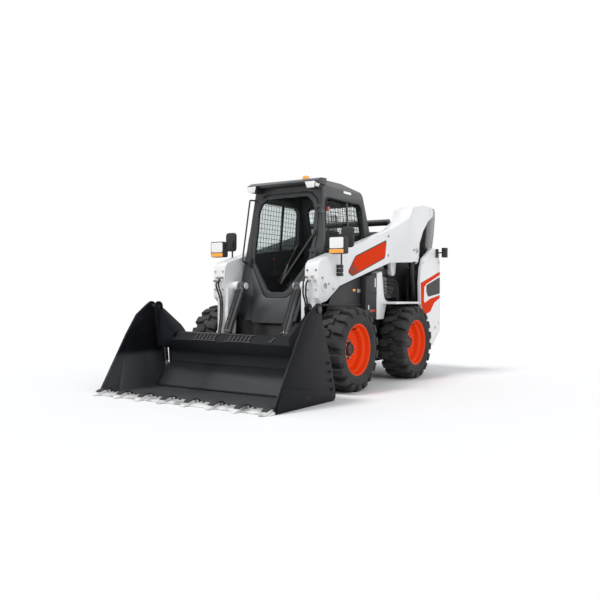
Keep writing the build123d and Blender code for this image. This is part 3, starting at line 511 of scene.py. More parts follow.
def rounded(points, radius):
    """A flat outline with its corners rounded."""
    steps = 5
    result = []
    for index, point in enumerate(points):
        here, before, after = Vector(point), Vector(points[index - 1]), Vector(points[(index + 1) % len(points)])
        reach = min(radius, (here - before).length * 0.45, (here - after).length * 0.45)
        start, end = here + (before - here).normalized() * reach, here + (after - here).normalized() * reach
        for step in range(steps + 1):
            t = step / steps
            result.append(tuple(start * (1 - t) ** 2 + here * 2 * t * (1 - t) + end * t ** 2))
    return result


def plaque(a0, a1, b0, b1, radius):
    """A rectangle with rounded corners."""
    return rounded(corners(a0, a1, b0, b1), radius)


def tube(points, radius, sides, closed):
    """A round tube's mesh along a smooth line near points."""
    data = bpy.data.curves.new("line", "CURVE")
    data.dimensions = "3D"
    data.bevel_depth, data.bevel_resolution, data.use_fill_caps = radius, sides, True
    data.resolution_u = 6
    spline = data.splines.new("NURBS")
    spline.points.add(len(points) - 1)
    for point, at in zip(spline.points, points):
        point.co = (*place(*at), 1)
    spline.use_cyclic_u = closed
    spline.order_u = 3
    spline.use_endpoint_u = not closed
    holder = linked("line", data)
    mesh = evaluated(holder)
    bpy.data.objects.remove(holder)
    return mesh


def tubes(name, lines, radius, body, finish, stands_for=(), sides=3, closed=False, both=False):
    """Several hoses or bars of one radius, as one piece. both adds the other side's."""
    if both:
        lines = lines + [[(-x, y, z) for x, y, z in points] for points in lines]
    whole = bmesh.new()
    for points in lines:
        mesh = tube(points, radius, sides, closed)
        whole.from_mesh(mesh)
        bpy.data.meshes.remove(mesh)
    return done(name, written(whole), finish, body, stands_for)


# --------------------------------------------------------------- geometry nodes
class Grower(Nodes):
    """A Geometry Nodes tree with named inputs, ended by Realize Instances and Set Material."""

    def __init__(self, name, **inputs):
        super().__init__(bpy.data.node_groups.new(name, "GeometryNodeTree"))
        self.socket("Geometry", "Geometry")
        self.ids = {}
        for label, value in inputs.items():
            socket = self.socket(titled(label), {float: "Float", int: "Int", tuple: "Vector"}[type(value)])
            socket.default_value = value
            self.ids[label] = socket.identifier
        self.ids["finish"] = self.socket("Finish", "Material").identifier
        self.socket("Geometry", "Geometry", "OUTPUT")
        self.source = self.tree.nodes.new("NodeGroupInput")

    def socket(self, label, kind, way="INPUT"):
        return self.tree.interface.new_socket(label, in_out=way, socket_type=f"NodeSocket{kind}")

    def __getitem__(self, label):
        """A named input."""
        return Value(self, self.source.outputs[label])

    def end(self, kind, sockets):
        """The last node of the shape, its instances made real, and the material."""
        real = self.node("GeometryNodeRealizeInstances", {0: self.node(kind, sockets)})
        dressed = self.node("GeometryNodeSetMaterial", {"Geometry": real, "Material": self["Finish"]})
        self.node("NodeGroupOutput", {0: dressed})
        return self

    def grow(self, mesh, **values):
        """The mesh that the tree makes from this one."""
        holder = linked("seed", mesh)
        modifier = holder.modifiers.new("grow", "NODES")
        modifier.node_group = self.tree
        for label, value in values.items():
            modifier[self.ids[label]] = value
        made = evaluated(holder)
        holder.modifiers.remove(modifier)
        bpy.data.objects.remove(holder)
        return made


def ring_tree():
    """Copies of the mesh round the X axis, then moved to a centre."""
    tree = Grower("ring_of_copies", copies=8, first_turn=0.0, centre=(0.0, 0.0, 0.0))
    points = tree.node("GeometryNodeMeshLine", {"Count": tree["Copies"], "Offset": (0, 0, 0)})
    share = tree.node("GeometryNodeInputIndex") / tree["Copies"]
    turn = tree.node("ShaderNodeCombineXYZ", {"X": share * (2 * pi) + tree["First Turn"]})
    copies = tree.node("GeometryNodeInstanceOnPoints", {
        "Points": points, "Instance": tree["Geometry"], "Rotation": turn})
    return tree.end("GeometryNodeTransform", {"Geometry": copies, "Translation": tree["Centre"]})


def row_tree():
    """Copies of the mesh in a straight row."""
    tree = Grower("row_of_copies", copies=8, step=(0.0, 0.0, 0.1))
    points = tree.node("GeometryNodeMeshLine", {"Count": tree["Copies"], "Offset": tree["Step"]})
    return tree.end("GeometryNodeInstanceOnPoints", {"Points": points, "Instance": tree["Geometry"]})


def bolt_tree():
    """A hexagon head on a washer at each vertex, turned to the vertex's facing."""
    tree = Grower("bolt_heads", across=0.02, height=0.012, washer=0.016)
    across, height = tree["Across"], tree["Height"]

    def disc(sides, radius, depth):
        return tree.node("GeometryNodeMeshCylinder", {"Vertices": sides, "Radius": radius, "Depth": depth})

    lift = tree.node("ShaderNodeCombineXYZ", {"Z": height * 0.5})
    head = tree.node("GeometryNodeTransform", {"Geometry": disc(6, across * 0.577, height), "Translation": lift})
    stub, washer = disc(12, across * 0.3, height * 2.6), disc(20, tree["Washer"], height * 0.4)
    bolt = tree.node("GeometryNodeJoinGeometry", {0: [head, stub, washer]})
    facing = tree.node("GeometryNodeInputNamedAttribute", {"Name": "facing"}, data_type="FLOAT_VECTOR")
    turn = tree.node("FunctionNodeAlignRotationToVector", {"Vector": facing}, axis="Z")
    return tree.end("GeometryNodeInstanceOnPoints", {"Points": tree["Geometry"], "Instance": bolt, "Rotation": turn})


def wire_tree():
    """A round wire along each edge of the mesh."""
    tree = Grower("wires", wire_radius=0.0015, sides=5)
    line = tree.node("GeometryNodeMeshToCurve", {"Mesh": tree["Geometry"]})
    circle = tree.node("GeometryNodeCurvePrimitiveCircle", {
        "Resolution": tree["Sides"], "Radius": tree["Wire Radius"]})
    return tree.end("GeometryNodeCurveToMesh", {"Curve": line, "Profile Curve": circle, "Fill Caps": True})


RING, ROW, BOLTS, WIRES = ring_tree(), row_tree(), bolt_tree(), wire_tree()


def bolts(name, points, facing, body, finish, across, height, washer, both=True):
    """Bolt heads at points, all facing one way. both adds the other side's."""
    ways = [facing] * len(points)
    if both:
        points = points + [(-x, y, z) for x, y, z in points]
        ways += [(-facing[0], *facing[1:])] * len(ways)
    mesh = bpy.data.meshes.new(name)
    mesh.from_pydata([place(*at) for at in points], [], [])
    mesh.attributes.new("facing", "FLOAT_VECTOR", "POINT").data.foreach_set("vector", [c for way in ways for c in way])
    return done(name, BOLTS.grow(mesh, finish=finish, across=across, height=height, washer=washer), finish, body)


# ------------------------------------------------------------- camera and stage
def camera():
    """Seen from the machine's front left, from about waist height."""
    yaw, pitch, roll = 0.5769, -0.0068, 0.0072
    ahead = Vector((-sin(yaw) * cos(pitch), cos(yaw) * cos(pitch), sin(pitch)))
    right = ahead.cross(Vector((0, 0, 1))).normalized()
    up = right.cross(ahead)
    right, up = right * cos(roll) + up * sin(roll), up * cos(roll) - right * sin(roll)
    made = linked("camera", bpy.data.cameras.new("camera"))
    made.data.sensor_width, made.data.lens = 36, 41.994
    turn = Matrix((right, up, -ahead)).transposed().to_4x4()
    made.matrix_world = Matrix.Translation(place(4.2017, -6.1207, 0.9542)) @ turn
    bpy.context.scene.camera = made


def sees_white(nodes):
    """1 for the camera, and for what mirrors and glass show of the surroundings."""
    straight, mirror, through = [nodes.node("ShaderNodeLightPath", output=f"Is {kind} Ray")
                                 for kind in ("Camera", "Glossy", "Transmission")]
    return (straight + mirror + through).at_most(1.0)


def stage():
    """A pale floor that fades to white, a soft sky, and two broad suns."""
    half = 30
    mesh = bpy.data.meshes.new("floor")
    mesh.from_pydata([(a, b, 0) for a, b in corners(-half, half, -half, half)], [], [(0, 1, 2, 3)])
    f = Finish("floor")
    away = f.node("ShaderNodeVectorMath", {0: f.place}, "Value", operation="LENGTH")
    far = f.span(away, 2.6, 4.6)
    matt = f.node("ShaderNodeBsdfDiffuse", {"Color": (0.93, 0.93, 0.93, 1)})
    white = f.node("ShaderNodeEmission", {"Color": (1, 1, 1, 1), "Strength": 1.0})
    mesh.materials.append(f.close(f.node("ShaderNodeMixShader", {0: far * sees_white(f), 1: matt, 2: white})))
    linked("floor", mesh)

    world = bpy.data.worlds.new("studio")
    bpy.context.scene.world = world
    world.use_nodes = True
    sky = Nodes(world.node_tree)
    soft = sky.node("ShaderNodeBackground", {"Color": (0.95, 0.97, 1.0, 1), "Strength": 0.60})
    white = sky.node("ShaderNodeBackground", {"Color": (1, 1, 1, 1), "Strength": 1.0})
    mixed = sky.node("ShaderNodeMixShader", {0: sees_white(sky), 1: soft, 2: white})
    sky.node("ShaderNodeOutputWorld", {"Surface": mixed})

    for name, strength, spread, toward in (
            ("key", 1.50, 16, (0.38, 0.70, -1.30)), ("fill", 0.55, 40, (-1.0, 0.45, -0.75))):
        lamp = bpy.data.lights.new(name, "SUN")
        lamp.energy, lamp.angle = strength, radians(spread)
        linked(name, lamp).matrix_world = Vector(toward).to_track_quat("-Z", "Y").to_matrix().to_4x4()


# ------------------------------------------------------------------------ wheels
LUGS = 18                     # in each of the two rows
RIM_SEAT = 0.248              # radius of the tyre's bead
CROWN = 0.392                 # radius between the lugs
BEAD = TYRE_HALF - 0.034
DISH = -0.008                 # outer face of the wheel's disc, from the tyre's middle
NUT_CIRCLE = 0.085


def lug(row):
    """A staggered tread block from past the middle, over the shoulder and a little down the side wall."""
    stations = (   # across, lean along the tread, half width at foot, half width at crown, foot and crown radius
        (-0.020, 0.030, 0.034, 0.028, 0.380, 0.4145),
        (0.020, 0.030, 0.036, 0.030, 0.380, 0.4165),
        (0.050, 0.006, 0.040, 0.035, 0.378, 0.4175),
        (0.112, 0.002, 0.042, 0.037, 0.376, 0.4175),
        (0.146, 0.000, 0.042, 0.037, 0.366, 0.4080),
        (0.1560, 0.000, 0.040, 0.034, 0.360, 0.3880),
        (0.1565, 0.000, 0.036, 0.030, 0.350, 0.3650))
    work = bmesh.new()
    rings = []
    for across, lean, foot, crown, low, high in stations:
        sunk = min(low, high - 0.012)
        rings.append([work.verts.new((row * across, y, z)) for y, z in (
            (lean - foot, sunk), (lean - crown, high), (lean + crown, high), (lean + foot, sunk))])
    for here, there in zip(rings, rings[1:]):
        strip(work, here, there)
    work.faces.new(rings[0])
    work.faces.new(rings[-1])
    bmesh.ops.recalc_face_normals(work, faces=work.faces)
    return written(work)


def tyre_form(centre):
    """Beads, side walls and crown, with two staggered rows of lugs."""
    half, seat = TYRE_HALF, RIM_SEAT
    wall = [(BEAD, seat), (BEAD + 0.012, seat + 0.010), (BEAD + 0.020, seat + 0.030), (half - 0.010, seat + 0.040),
            (half - 0.003, seat + 0.050), (half - 0.003, seat + 0.058), (half - 0.009, seat + 0.062),
            (half - 0.004, seat + 0.070), (half - 0.001, 0.332), (half - 0.003, 0.347), (half - 0.009, 0.350),
            (half - 0.007, 0.356), (half - 0.022, 0.376), (half - 0.055, CROWN - 0.006), (0.0, CROWN)]
    body = Form().turned(wall + [(-a, r) for a, r in reversed(wall[:-1])], centre, 72)
    for row, turn in ((1, 0.0), (-1, pi / LUGS)):
        body.mesh.from_mesh(RING.grow(lug(row), finish=RUBBER, copies=LUGS, first_turn=turn, centre=tuple(centre)))
    return body


def rim_form(centre, side):
    """Dished steel wheel with a stepped well, its open side outwards."""
    bead = BEAD + 0.0003
    profile = [(bead + 0.010, 0.261), (bead + 0.011, 0.252), (bead + 0.004, 0.243), (bead - 0.012, 0.238),
               (bead - 0.030, 0.235), (0.080, 0.230), (0.069, 0.212), (0.062, 0.208), (0.026, 0.204), (0.012, 0.199),
               (0.002, 0.186), (-0.005, 0.166), (-0.003, 0.140), (-0.003, 0.122), (DISH, 0.112), (DISH, 0.100),
               (-0.019, 0.100), (-0.020, 0.184), (-bead - 0.010, 0.236), (-bead - 0.011, 0.261), (-bead, 0.262),
               (-bead, RIM_SEAT - 0.0004), (bead, RIM_SEAT - 0.0004), (bead, 0.262)]
    return Form().turned([(side * a, r) for a, r in profile], centre, 72)


def wheel(corner, side):
    """Tyre, rim, hub, nuts and valve of the wheel at a corner such as front_left."""
    body, tyre, rim = f"wheel_{corner}", f"tyre_{corner}", f"rim_{corner}"
    centre = middle(tyre)
    tyre_form(centre).piece(f"tyre_{body}", body, RUBBER, 0.004, "tyre_rubber", (tyre,))
    rim_form(centre, side).piece(f"rim_{body}", body, ORANGE, 0.0025, "orange_paint", (rim,))
    hub = Form()
    hub.turned([(side * (DISH + a), r) for a, r in (
        (0.000, 0.001), (0.000, 0.108), (0.010, 0.108), (0.014, 0.100), (0.016, 0.068), (0.054, 0.061),
        (0.062, 0.053), (0.060, 0.045), (0.050, 0.041), (0.050, 0.001))], centre, 48)
    hub.turned([(side * (DISH - a), r) for a, r in corners(0.001, 0.120, 0.001, 0.058)], centre, 32)
    hub.piece(f"hub_{body}", body, BLACK, 0.0015)
    face = DISH + 0.013
    nut = Form().rod((side * face, 0, NUT_CIRCLE), (side * (face + 0.018), 0, NUT_CIRCLE), 0.0135, 6)
    nut.rod((side * (face + 0.016), 0, NUT_CIRCLE), (side * (face + 0.032), 0, NUT_CIRCLE), 0.0068, 12)
    ring = RING.grow(nut.plain(), finish=BOLT, copies=8, first_turn=0.2, centre=tuple(centre))
    done(f"nuts_{body}", ring, BOLT, body)
    stem = [(centre.x + side * a, centre.y - AXLE_Y + 0.02, centre.z + r)
            for a, r in ((0.030, 0.196), (0.062, 0.196), (0.104, 0.214))]
    tubes(f"valve_{body}", [stem], 0.0048, body, BLACK)


def wheels():
    for end in ("front", "rear"):
        for tag, side in (("left", 1), ("right", -1)):
            wheel(f"{end}_{tag}", side)


# ------------------------------------------------------------ shells with eased edges
def shells():
    for node, finish, ease in (
            ("main_frame", BLACK, 0.006), ("side_covers", COVER, 0.003), ("tower_covers", COVER, 0.004),
            ("axle_housings", BLACK, 0.003), ("rear_frame", WHITE, 0.004), ("tail_inner_plates", BLACK, 0.003),
            ("engine_bay", COVER, 0.003), ("fenders", WHITE, 0.005), ("engine_deck", COVER, 0.004),
            ("engine_block", IRON, 0.01), ("cab_shell", CHARCOAL, 0.006), ("front_panel", NOSE_GREY, 0.005),
            ("door_frame", CHARCOAL, 0.004), ("hood_lid", COVER, 0.005), ("tailgate", WHITE, 0.004),
            ("rear_links", LINK_BLACK, 0.010), ("lift_arms", WHITE, 0.007), ("cross_tubes", BLACK, 0.002),
            ("control_links", BLACK, 0.004), ("lift_barrels", BLACK, 0.002), ("lift_rods", CHROME, 0.0015),
            ("tilt_barrels", CYLINDER, 0.002), ("tilt_rods", CHROME, 0.0015), ("clam_barrels", BLACK, 0.002),
            ("clam_rods", CHROME, 0.0015), ("quick_attach", BLACK, 0.003), ("bucket_back", BUCKET, 0.004),
            ("clam_pins", BLACK, 0.002), ("bucket_clam", BUCKET, 0.003), ("cutting_edge", EDGE, 0.0015),
            ("bucket_teeth", EDGE, 0.003), ("seat_base", PLASTIC, 0.008), ("door_glass", DOOR_GLASS, 0),
            ("side_windows", SIDE_GLASS, 0), ("rear_window", SIDE_GLASS, 0), ("wiper", BLACK, 0.001),
            ("roof_lamps", PLASTIC, 0.005), ("rear_lamps", PLASTIC, 0.004)):
        dress(node, finish, ease)


# ---------------------------------------------------------------------- the cab
CAB_LINE = ((0.655, -0.250), (0.955, -0.120), (1.630, 0.030), (2.150, 0.087))     # its front, as (z, y)
WALL_LINE = ((0.0, 0.470), (1.560, 0.470), (1.800, 0.448), (2.110, 0.422))        # its side, as (z, x)
SIDE_WINDOW = ((0.085, 1.450), (0.130, 1.405), (0.900, 1.500), (0.950, 1.560), (0.930, 1.925), (0.880, 1.985),
               (0.190, 1.985), (0.140, 1.935))                                    # as (y, z)
REAR_WINDOW = ((-0.335, 1.645), (-0.335, 1.945), (-0.300, 1.985), (0.300, 1.985), (0.335, 1.945),
               (0.335, 1.645))                                                    # as (x, z)
SLIDER = ((0.596, 1.462), (0.628, 1.466), (0.628, 1.984), (0.596, 1.984))         # bar between the panes
REAR_LINE = ((1.600, 1.118), (2.080, 0.985))                                      # its rear, as (z, y)
GUARD_PITCH, GUARD_WIRE = 0.052, 0.0026
FLOOR_Z = 0.710
STICK_X = 0.305
BEACON_Y = 0.440
LAMP_LEAN, LAMP_FLARE = 0.152, 0.212              # the roof lamps' faces lean back and outwards with height


def along(line, z):
    """The value of a bent line of (z, value) pairs at z."""
    for (z0, v0), (z1, v1) in zip(line, line[1:]):
        if z <= z1 or (z1, v1) == line[-1]:
            return v0 + (v1 - v0) * (z - z0) / (z1 - z0)


def inside(outline, a, b):
    """Whether a point lies within an outline."""
    hit = False
    for (a0, b0), (a1, b1) in zip(outline, outline[1:] + outline[:1]):
        if (b0 > b) != (b1 > b) and a < (a1 - a0) * (b - b0) / (b1 - b0) + a0:
            hit = not hit
    return hit


def wires_within(outline):
    """Crossed lines cut to an outline, as flat points and the edges between them."""
    count = 26
    low, high = [[pick(p[k] for p in outline) for k in (0, 1)] for pick in (min, max)]
    points, edges = [], []
    for way in (0, 1):
        start, reach = low[1 - way], high[1 - way] - low[1 - way]
        for n in range(int((high[way] - low[way]) / GUARD_PITCH) + 1):
            line = low[way] + GUARD_PITCH * (n + 0.5)
            last = None
            for k in range(count + 1):
                far = start + reach * k / count
                spot = (far, line) if way else (line, far)
                if not inside(outline, *spot):
                    last = None
                    continue
                points.append(spot)
                if last is not None:
                    edges.append((last, len(points) - 1))
                last = len(points) - 1
    return points, edges


def guard(name, sheets, edges, stands_for=()):
    """A wire guard with the same crossed lines on each sheet of points."""
    points = [place(*at) for sheet in sheets for at in sheet]
    firsts = range(0, len(points), len(sheets[0]))
    mesh = bpy.data.meshes.new(name)
    mesh.from_pydata(points, [(first + a, first + b) for first in firsts for a, b in edges], [])
    wires = WIRES.grow(mesh, finish=BLACK, wire_radius=GUARD_WIRE, sides=5)
    done(name, wires, BLACK, "chassis", stands_for)


def windows():
    """Wire guards inside the panes, rubber seals round them and the sliding panes' bar."""
    def on_walls(inset, points):
        return [[(side * (along(WALL_LINE, z) - inset), y, z) for y, z in points] for side in (1, -1)]

    def on_rear(inset, points):
        return [[(x, along(REAR_LINE, z) - inset, z) for x, z in points]]

    tubes("window_seals", on_walls(-0.001, rounded(SIDE_WINDOW, 0.05)), 0.007, "chassis", PLASTIC, closed=True)
    bars = Form()
    for side, quad in zip((1, -1), on_walls(0.020, SLIDER)):
        bars.prism(quad, (side * 0.014, 0, 0))
    bars.piece("window_bars", "chassis", BLACK, 0.002)
    points, edges = wires_within(rounded(SIDE_WINDOW, 0.03))
    guard("side_guards", on_walls(0.052, points), edges, ("side_screens",))
    points, edges = wires_within(list(REAR_WINDOW))
    guard("rear_guard", on_rear(0.040, points), edges)
    tubes("rear_window_seal", on_rear(0.002, rounded(REAR_WINDOW, 0.04)), 0.008, "chassis", PLASTIC, closed=True)


SWELL_LIMIT = 0.024
SWELL_FRAMES = 20


def swollen(mesh, hold):
    """A cushion's shape: the mesh blown up as cloth, and no point moved beyond the limit."""
    even = baked(mesh, ("REMESH", dict(mode="VOXEL", voxel_size=0.007)))
    holder = linked("cushion", even)
    rest = [vertex.co.copy() for vertex in even.vertices]
    group = holder.vertex_groups.new(name="held")
    group.add([n for n, co in enumerate(rest) if hold(co)], 1.0, "REPLACE")
    cloth = holder.modifiers.new("cloth", "CLOTH")
    cloth.settings.use_pressure = True
    cloth.settings.uniform_pressure_force = 4.0
    cloth.settings.effector_weights.gravity = 0.0
    cloth.settings.vertex_group_mass = "held"
    cloth.settings.quality = 4
    cloth.point_cache.frame_start, cloth.point_cache.frame_end = 1, SWELL_FRAMES
    for number in range(1, SWELL_FRAMES + 1):
        bpy.context.scene.frame_set(number)
    moved = evaluated(holder)
    bpy.context.scene.frame_set(1)
    for vertex, start in zip(moved.vertices, rest):
        step = vertex.co - start
        if step.length > SWELL_LIMIT:
            vertex.co = start + step.normalized() * SWELL_LIMIT
    bpy.data.objects.remove(holder)
    return moved


def cushion(name, outline, x_half, grooves, hold):
    """A padded piece from its side outline. Sewn channels, each as (distance from it, depth, width),
    are pressed in after it is blown up, and hold says which points stay."""
    form = Form().side(rounded(outline, 0.045), -x_half, x_half)
    mesh = swollen(baked(form.plain(), bevel(0.03, 3, 40)), hold)
    work = bmesh.new()
    work.from_mesh(mesh)
    work.normal_update()
    for vertex in work.verts:
        for reads, depth, width in grooves:
            vertex.co -= vertex.normal * depth * exp(-(reads(vertex.co) / width) ** 2)
    made = baked(written(work, mesh), ("SMOOTH", dict(factor=0.5, iterations=2)),
                 ("SUBSURF", dict(levels=1, render_levels=1)))
    done(name, made, CLOTH, "chassis", ("seat",))


def seat():
    """High-backed seat with a padded pan, bolsters and a headrest."""
    def level(z):
        return lambda co: abs(co.z - z)

    def upright(x):
        return lambda co: abs(abs(co.x) - x)

    def behind(co):
        return co.y - AXLE_Y

    cushion("seat_pan", [(0.345, 1.035), (0.345, 1.095), (0.700, 1.100), (0.780, 1.080), (0.785, 1.035)], 0.205,
            [(upright(0.130), 0.010, 0.008), (lambda co: abs(behind(co) - 0.56), 0.008, 0.008)],
            lambda co: co.z < 1.045)
    cushion("seat_back", [(0.735, 1.120), (0.800, 1.505), (0.868, 1.500), (0.815, 1.120)], 0.195,
            [(upright(0.125), 0.010, 0.008), (level(1.25), 0.008, 0.008), (level(1.38), 0.008, 0.008)],
            lambda co: behind(co) > 0.79 + (co.z - 1.12) * 0.15)
    cushion("headrest", [(0.800, 1.540), (0.824, 1.700), (0.870, 1.700), (0.866, 1.540)], 0.125,
            [(level(1.62), 0.005, 0.007)], lambda co: behind(co) > 0.858)
    shell = Form().side([(0.800, 1.060), (0.826, 1.115), (0.884, 1.520), (0.888, 1.690), (0.896, 1.690),
                         (0.896, 1.510), (0.842, 1.100), (0.812, 1.052)], -0.165, 0.165)
    shell.side([(0.330, 1.012), (0.330, 1.032), (0.800, 1.032), (0.800, 1.012)], -0.215, 0.215)
    shell.piece("seat_shell", "chassis", TRIM, 0.004, "dark_plastic")
    belt = [(0.185, 0.842, 1.30), (0.10, 0.80, 1.10), (0.225, 0.60, 1.05)]
    tubes("seat_belt", [belt], 0.006, "chassis", TRIM)


def controls():
    """Armrest pods with sticks, boots and keys, a floor mat and the side window's red knob."""
    pods = Form()
    pods.side(rounded([(0.255, 1.155), (0.262, 1.190), (0.340, 1.200), (0.560, 1.192), (0.715, 1.198),
                       (0.718, 1.160), (0.480, 1.150)], 0.02), 0.268, 0.342)
    pods.side([(0.600, FLOOR_Z + 0.002), (0.600, 1.160), (0.700, 1.160), (0.700, FLOOR_Z + 0.002)], 0.280, 0.330)
    pods.mirrored().piece("control_pods", "chassis", PLASTIC, 0.008, "dark_plastic", ("controls",), segments=3)
    boots, grips, keys = Form(), Form(), Form()
    grip = [(0.284, 1.250, 0.015), (0.281, 1.275, 0.021), (0.277, 1.300, 0.018), (0.272, 1.330, 0.022),
            (0.268, 1.350, 0.024), (0.264, 1.366, 0.014)]       # y, z, radius
    folds = ((0.292, 1.196, 0.034, 0.026), (0.291, 1.206, 0.030, 0.022), (0.290, 1.216, 0.025, 0.017))
    for x in (STICK_X, -STICK_X):
        for y, z, foot, top in folds:
            boots.bar((x, y, z), (x, y - 0.001, z + 0.011), foot, 24, top)
        boots.bar((x, 0.290, 1.22), (x, 0.284, 1.255), 0.0075, 14)
        for (y0, z0, foot), (y1, z1, top) in zip(grip, grip[1:]):
            grips.bar((x, y0, z0), (x, y1, z1), foot, 24, top)
        for dx, dz in ((-0.012, 0), (0, 0.012), (0.012, 0)):
            keys.bar((x + dx, 0.254, 1.342 + dz), (x + dx, 0.244, 1.344 + dz), 0.0042, 12)
    boots.piece("stick_boots", "chassis", HOSE, 0, "dark_plastic")
    grips.piece("stick_grips", "chassis", TRIM, 0, "dark_plastic")
    keys.piece("stick_keys", "chassis", ORANGE, 0)
    mat = Form().box((-0.290, -0.095, FLOOR_Z + OFF), (0.290, 0.395, FLOOR_Z + 0.004))
    mat.piece("floor_mat", "chassis", HOSE, 0.001)
    knob = Form().turned([(0.385, 0.001), (0.385, 0.020), (0.402, 0.026), (0.410, 0.024), (0.412, 0.001)],
                         place(0, 0.25, 1.872), 24)
    knob.piece("exit_knob", "chassis", RED, 0.002, "dark_plastic")


def roof():
    """Beacon, work-lamp lenses, the roof's side lamps and the loop handle."""
    centre = place(0, BEACON_Y, 0)
    base = Form().turned([(2.178, 0.001), (2.178, 0.051), (2.192, 0.051), (2.198, 0.046), (2.198, 0.001)],
                         centre, 40, "Z")
    base.piece("beacon_base", "chassis", AMBER_DARK, 0.002, "amber_lens", ("beacon",))
    dome = Form().turned([(2.1985, 0.001), (2.1985, 0.0435), (2.262, 0.0400), (2.277, 0.034), (2.283, 0.020),
                          (2.2835, 0.001)], centre, 40, "Z")
    dome.piece("beacon_dome", "chassis", AMBER, 0.003, "amber_lens")
    lenses, marker = Form(), Form()
    front = [(x, -0.0575 - (z - 2.062) * LAMP_LEAN, z)
             for x, z in ((0.336, 2.057), (0.313, 2.120), (0.434, 2.120), (0.419, 2.057))]
    lenses.prism(front, (0, -0.0075, 0))
    end = [(0.4170 + (z - 2.062) * LAMP_FLARE, y, z)
           for y, z in ((-0.046, 2.074), (-0.052, 2.116), (0.040, 2.116), (0.020, 2.074))]
    lenses.prism(end, (0.004, 0, 0))
    lenses.mirrored().piece("roof_lamp_lenses", "chassis", LAMP, 0.0015, "lamp_lens")
    face = along(WALL_LINE, 2.082)
    marker.side(plaque(0.535, 0.700, 2.068, 2.094, 0.008), face, face + 0.006)
    marker.mirrored().piece("roof_side_lamps", "chassis", LAMP, 0.0015, "lamp_lens")
    loop = [(-0.425, 0.090, 1.990), (-0.425, 0.010, 1.988), (-0.425, -0.024, 1.984), (-0.425, -0.030, 1.950),
            (-0.440, -0.068, 1.650), (-0.455, -0.106, 1.360), (-0.455, -0.108, 1.322), (-0.452, -0.080, 1.302),
            (-0.445, 0.020, 1.290)]
    tubes("grab_loop", [loop], 0.009, "chassis", BLACK, ("grab_handle",), sides=5)


def door_fittings():
    """The door's latch, its hinges' bolts and the wiper's rubber."""
    y = along(CAB_LINE, 1.30)
    latch = Form().box((-0.392, y - 0.018, 1.245), (-0.362, y - 0.0045, 1.355))
    latch.box((-0.386, y - 0.034, 1.262), (-0.372, y - 0.017, 1.338))
    latch.piece("door_latch", "door", PLASTIC, 0.003)
    at = [(0.392, along(CAB_LINE, z) - 0.0045, z) for z in (1.372, 1.384, 1.832, 1.844)]
    bolts("hinge_bolts", at, FORWARD, "door", BOLT_BLACK, 0.011, 0.006, 0.008, both=False)
    blade = [(x, along(CAB_LINE, z) - 0.0095, z) for x, z in ((0.197, 1.478), (0.105, 1.284), (0.018, 1.096))]
    tubes("wiper_rubber", [blade], 0.004, "door", HOSE)


# ------------------------------------------------------------- arms and their lamps
STALK_X, STALK_Y = 0.700, 0.020
STALK_LINK_Z, MIRROR_LINK_Z = 1.448, 1.538


def lamp_set():
    """Work lamps on the arms, with indicators under them and mirrors behind."""
    parts = (   # name, finish, x and z ranges, corner radius, y, depth, ease, slot, segments
        ("lamp_housing", PLASTIC, (0.667, 0.847), (1.365, 1.535), 0.02, -0.180, 0.085, 0.008, "dark_plastic", 3),
        ("lamp_lens", LAMP, (0.679, 0.835), (1.417, 1.525), 0.018, -0.1848, 0.008, 0.004, "lamp_lens", 3),
        ("lamp_indicator", AMBER, (0.677, 0.837), (1.370, 1.408), 0.008, -0.1848, 0.010, 0.003, "amber_lens", 2),
        ("mirror_shell", PLASTIC, (0.680, 0.820), (1.440, 1.650), 0.04, 0.045, 0.034, 0.012, "dark_plastic", 4),
        ("mirror_pane", MIRROR, (0.694, 0.806), (1.454, 1.636), 0.034, 0.0785, 0.0013, 0, None, 2))
    for tag, side in (("left", 1), ("right", -1)):
        for name, finish, across, up, radius, y, depth, ease, slot, segments in parts:
            form = Form().front(plaque(*sorted(side * x for x in across), *up, radius), y, depth)
            form.piece(f"{name}_{tag}", "lift_arm", finish, ease, slot, segments=segments)
    stalks = [[(STALK_X, STALK_Y, 1.150), (STALK_X, STALK_Y, 1.56)],
              [(STALK_X, -0.100, STALK_LINK_Z), (STALK_X, STALK_Y, STALK_LINK_Z)],
              [(STALK_X, STALK_Y, MIRROR_LINK_Z), (0.735, 0.045, MIRROR_LINK_Z)]]
    tubes("lamp_stalks", stalks, 0.009, "lift_arm", BLACK, both=True)
    clamps = Form()
    for low, high in ((1.150, 1.182), (1.188, 1.226), (1.232, 1.265)):
        clamps.box((ARM_FACE + 2 * OFF, -0.005, low), (0.712, 0.045, high))
    clamps.mirrored().piece("stalk_clamps", "lift_arm", PLASTIC, 0.005, "dark_plastic", ("arm_lamps", "arm_mirrors"))


def arm_panels():
    """The orange panel on each arm, thin and dark at its rim, with a deeper corner at its front."""
    for name, outline, radius, off, thick, finish, slot in (
            ("arm_panel_rims", [(0.392, 1.374), (1.142, 1.597), (1.102, 1.383), (0.328, 1.154), (0.232, 1.196)],
             0.040, OFF, 0.0008, TRIM, None),
            ("arm_panels", [(0.400, 1.362), (1.128, 1.580), (1.088, 1.392), (0.330, 1.166), (0.248, 1.200)],
             0.035, 3 * OFF, 0.0016, DECAL, "orange_paint"),
            ("arm_panel_corners", [(0.345, 1.300), (0.452, 1.222), (0.500, 1.219), (0.330, 1.169), (0.252, 1.202)],
             0.012, 6 * OFF, 0.0016, ORANGE_DEEP, None)):
        form = Form().side(rounded(outline, radius), ARM_FACE + off, ARM_FACE + off + thick)
        form.mirrored().piece(name, "lift_arm", finish, 0, slot)


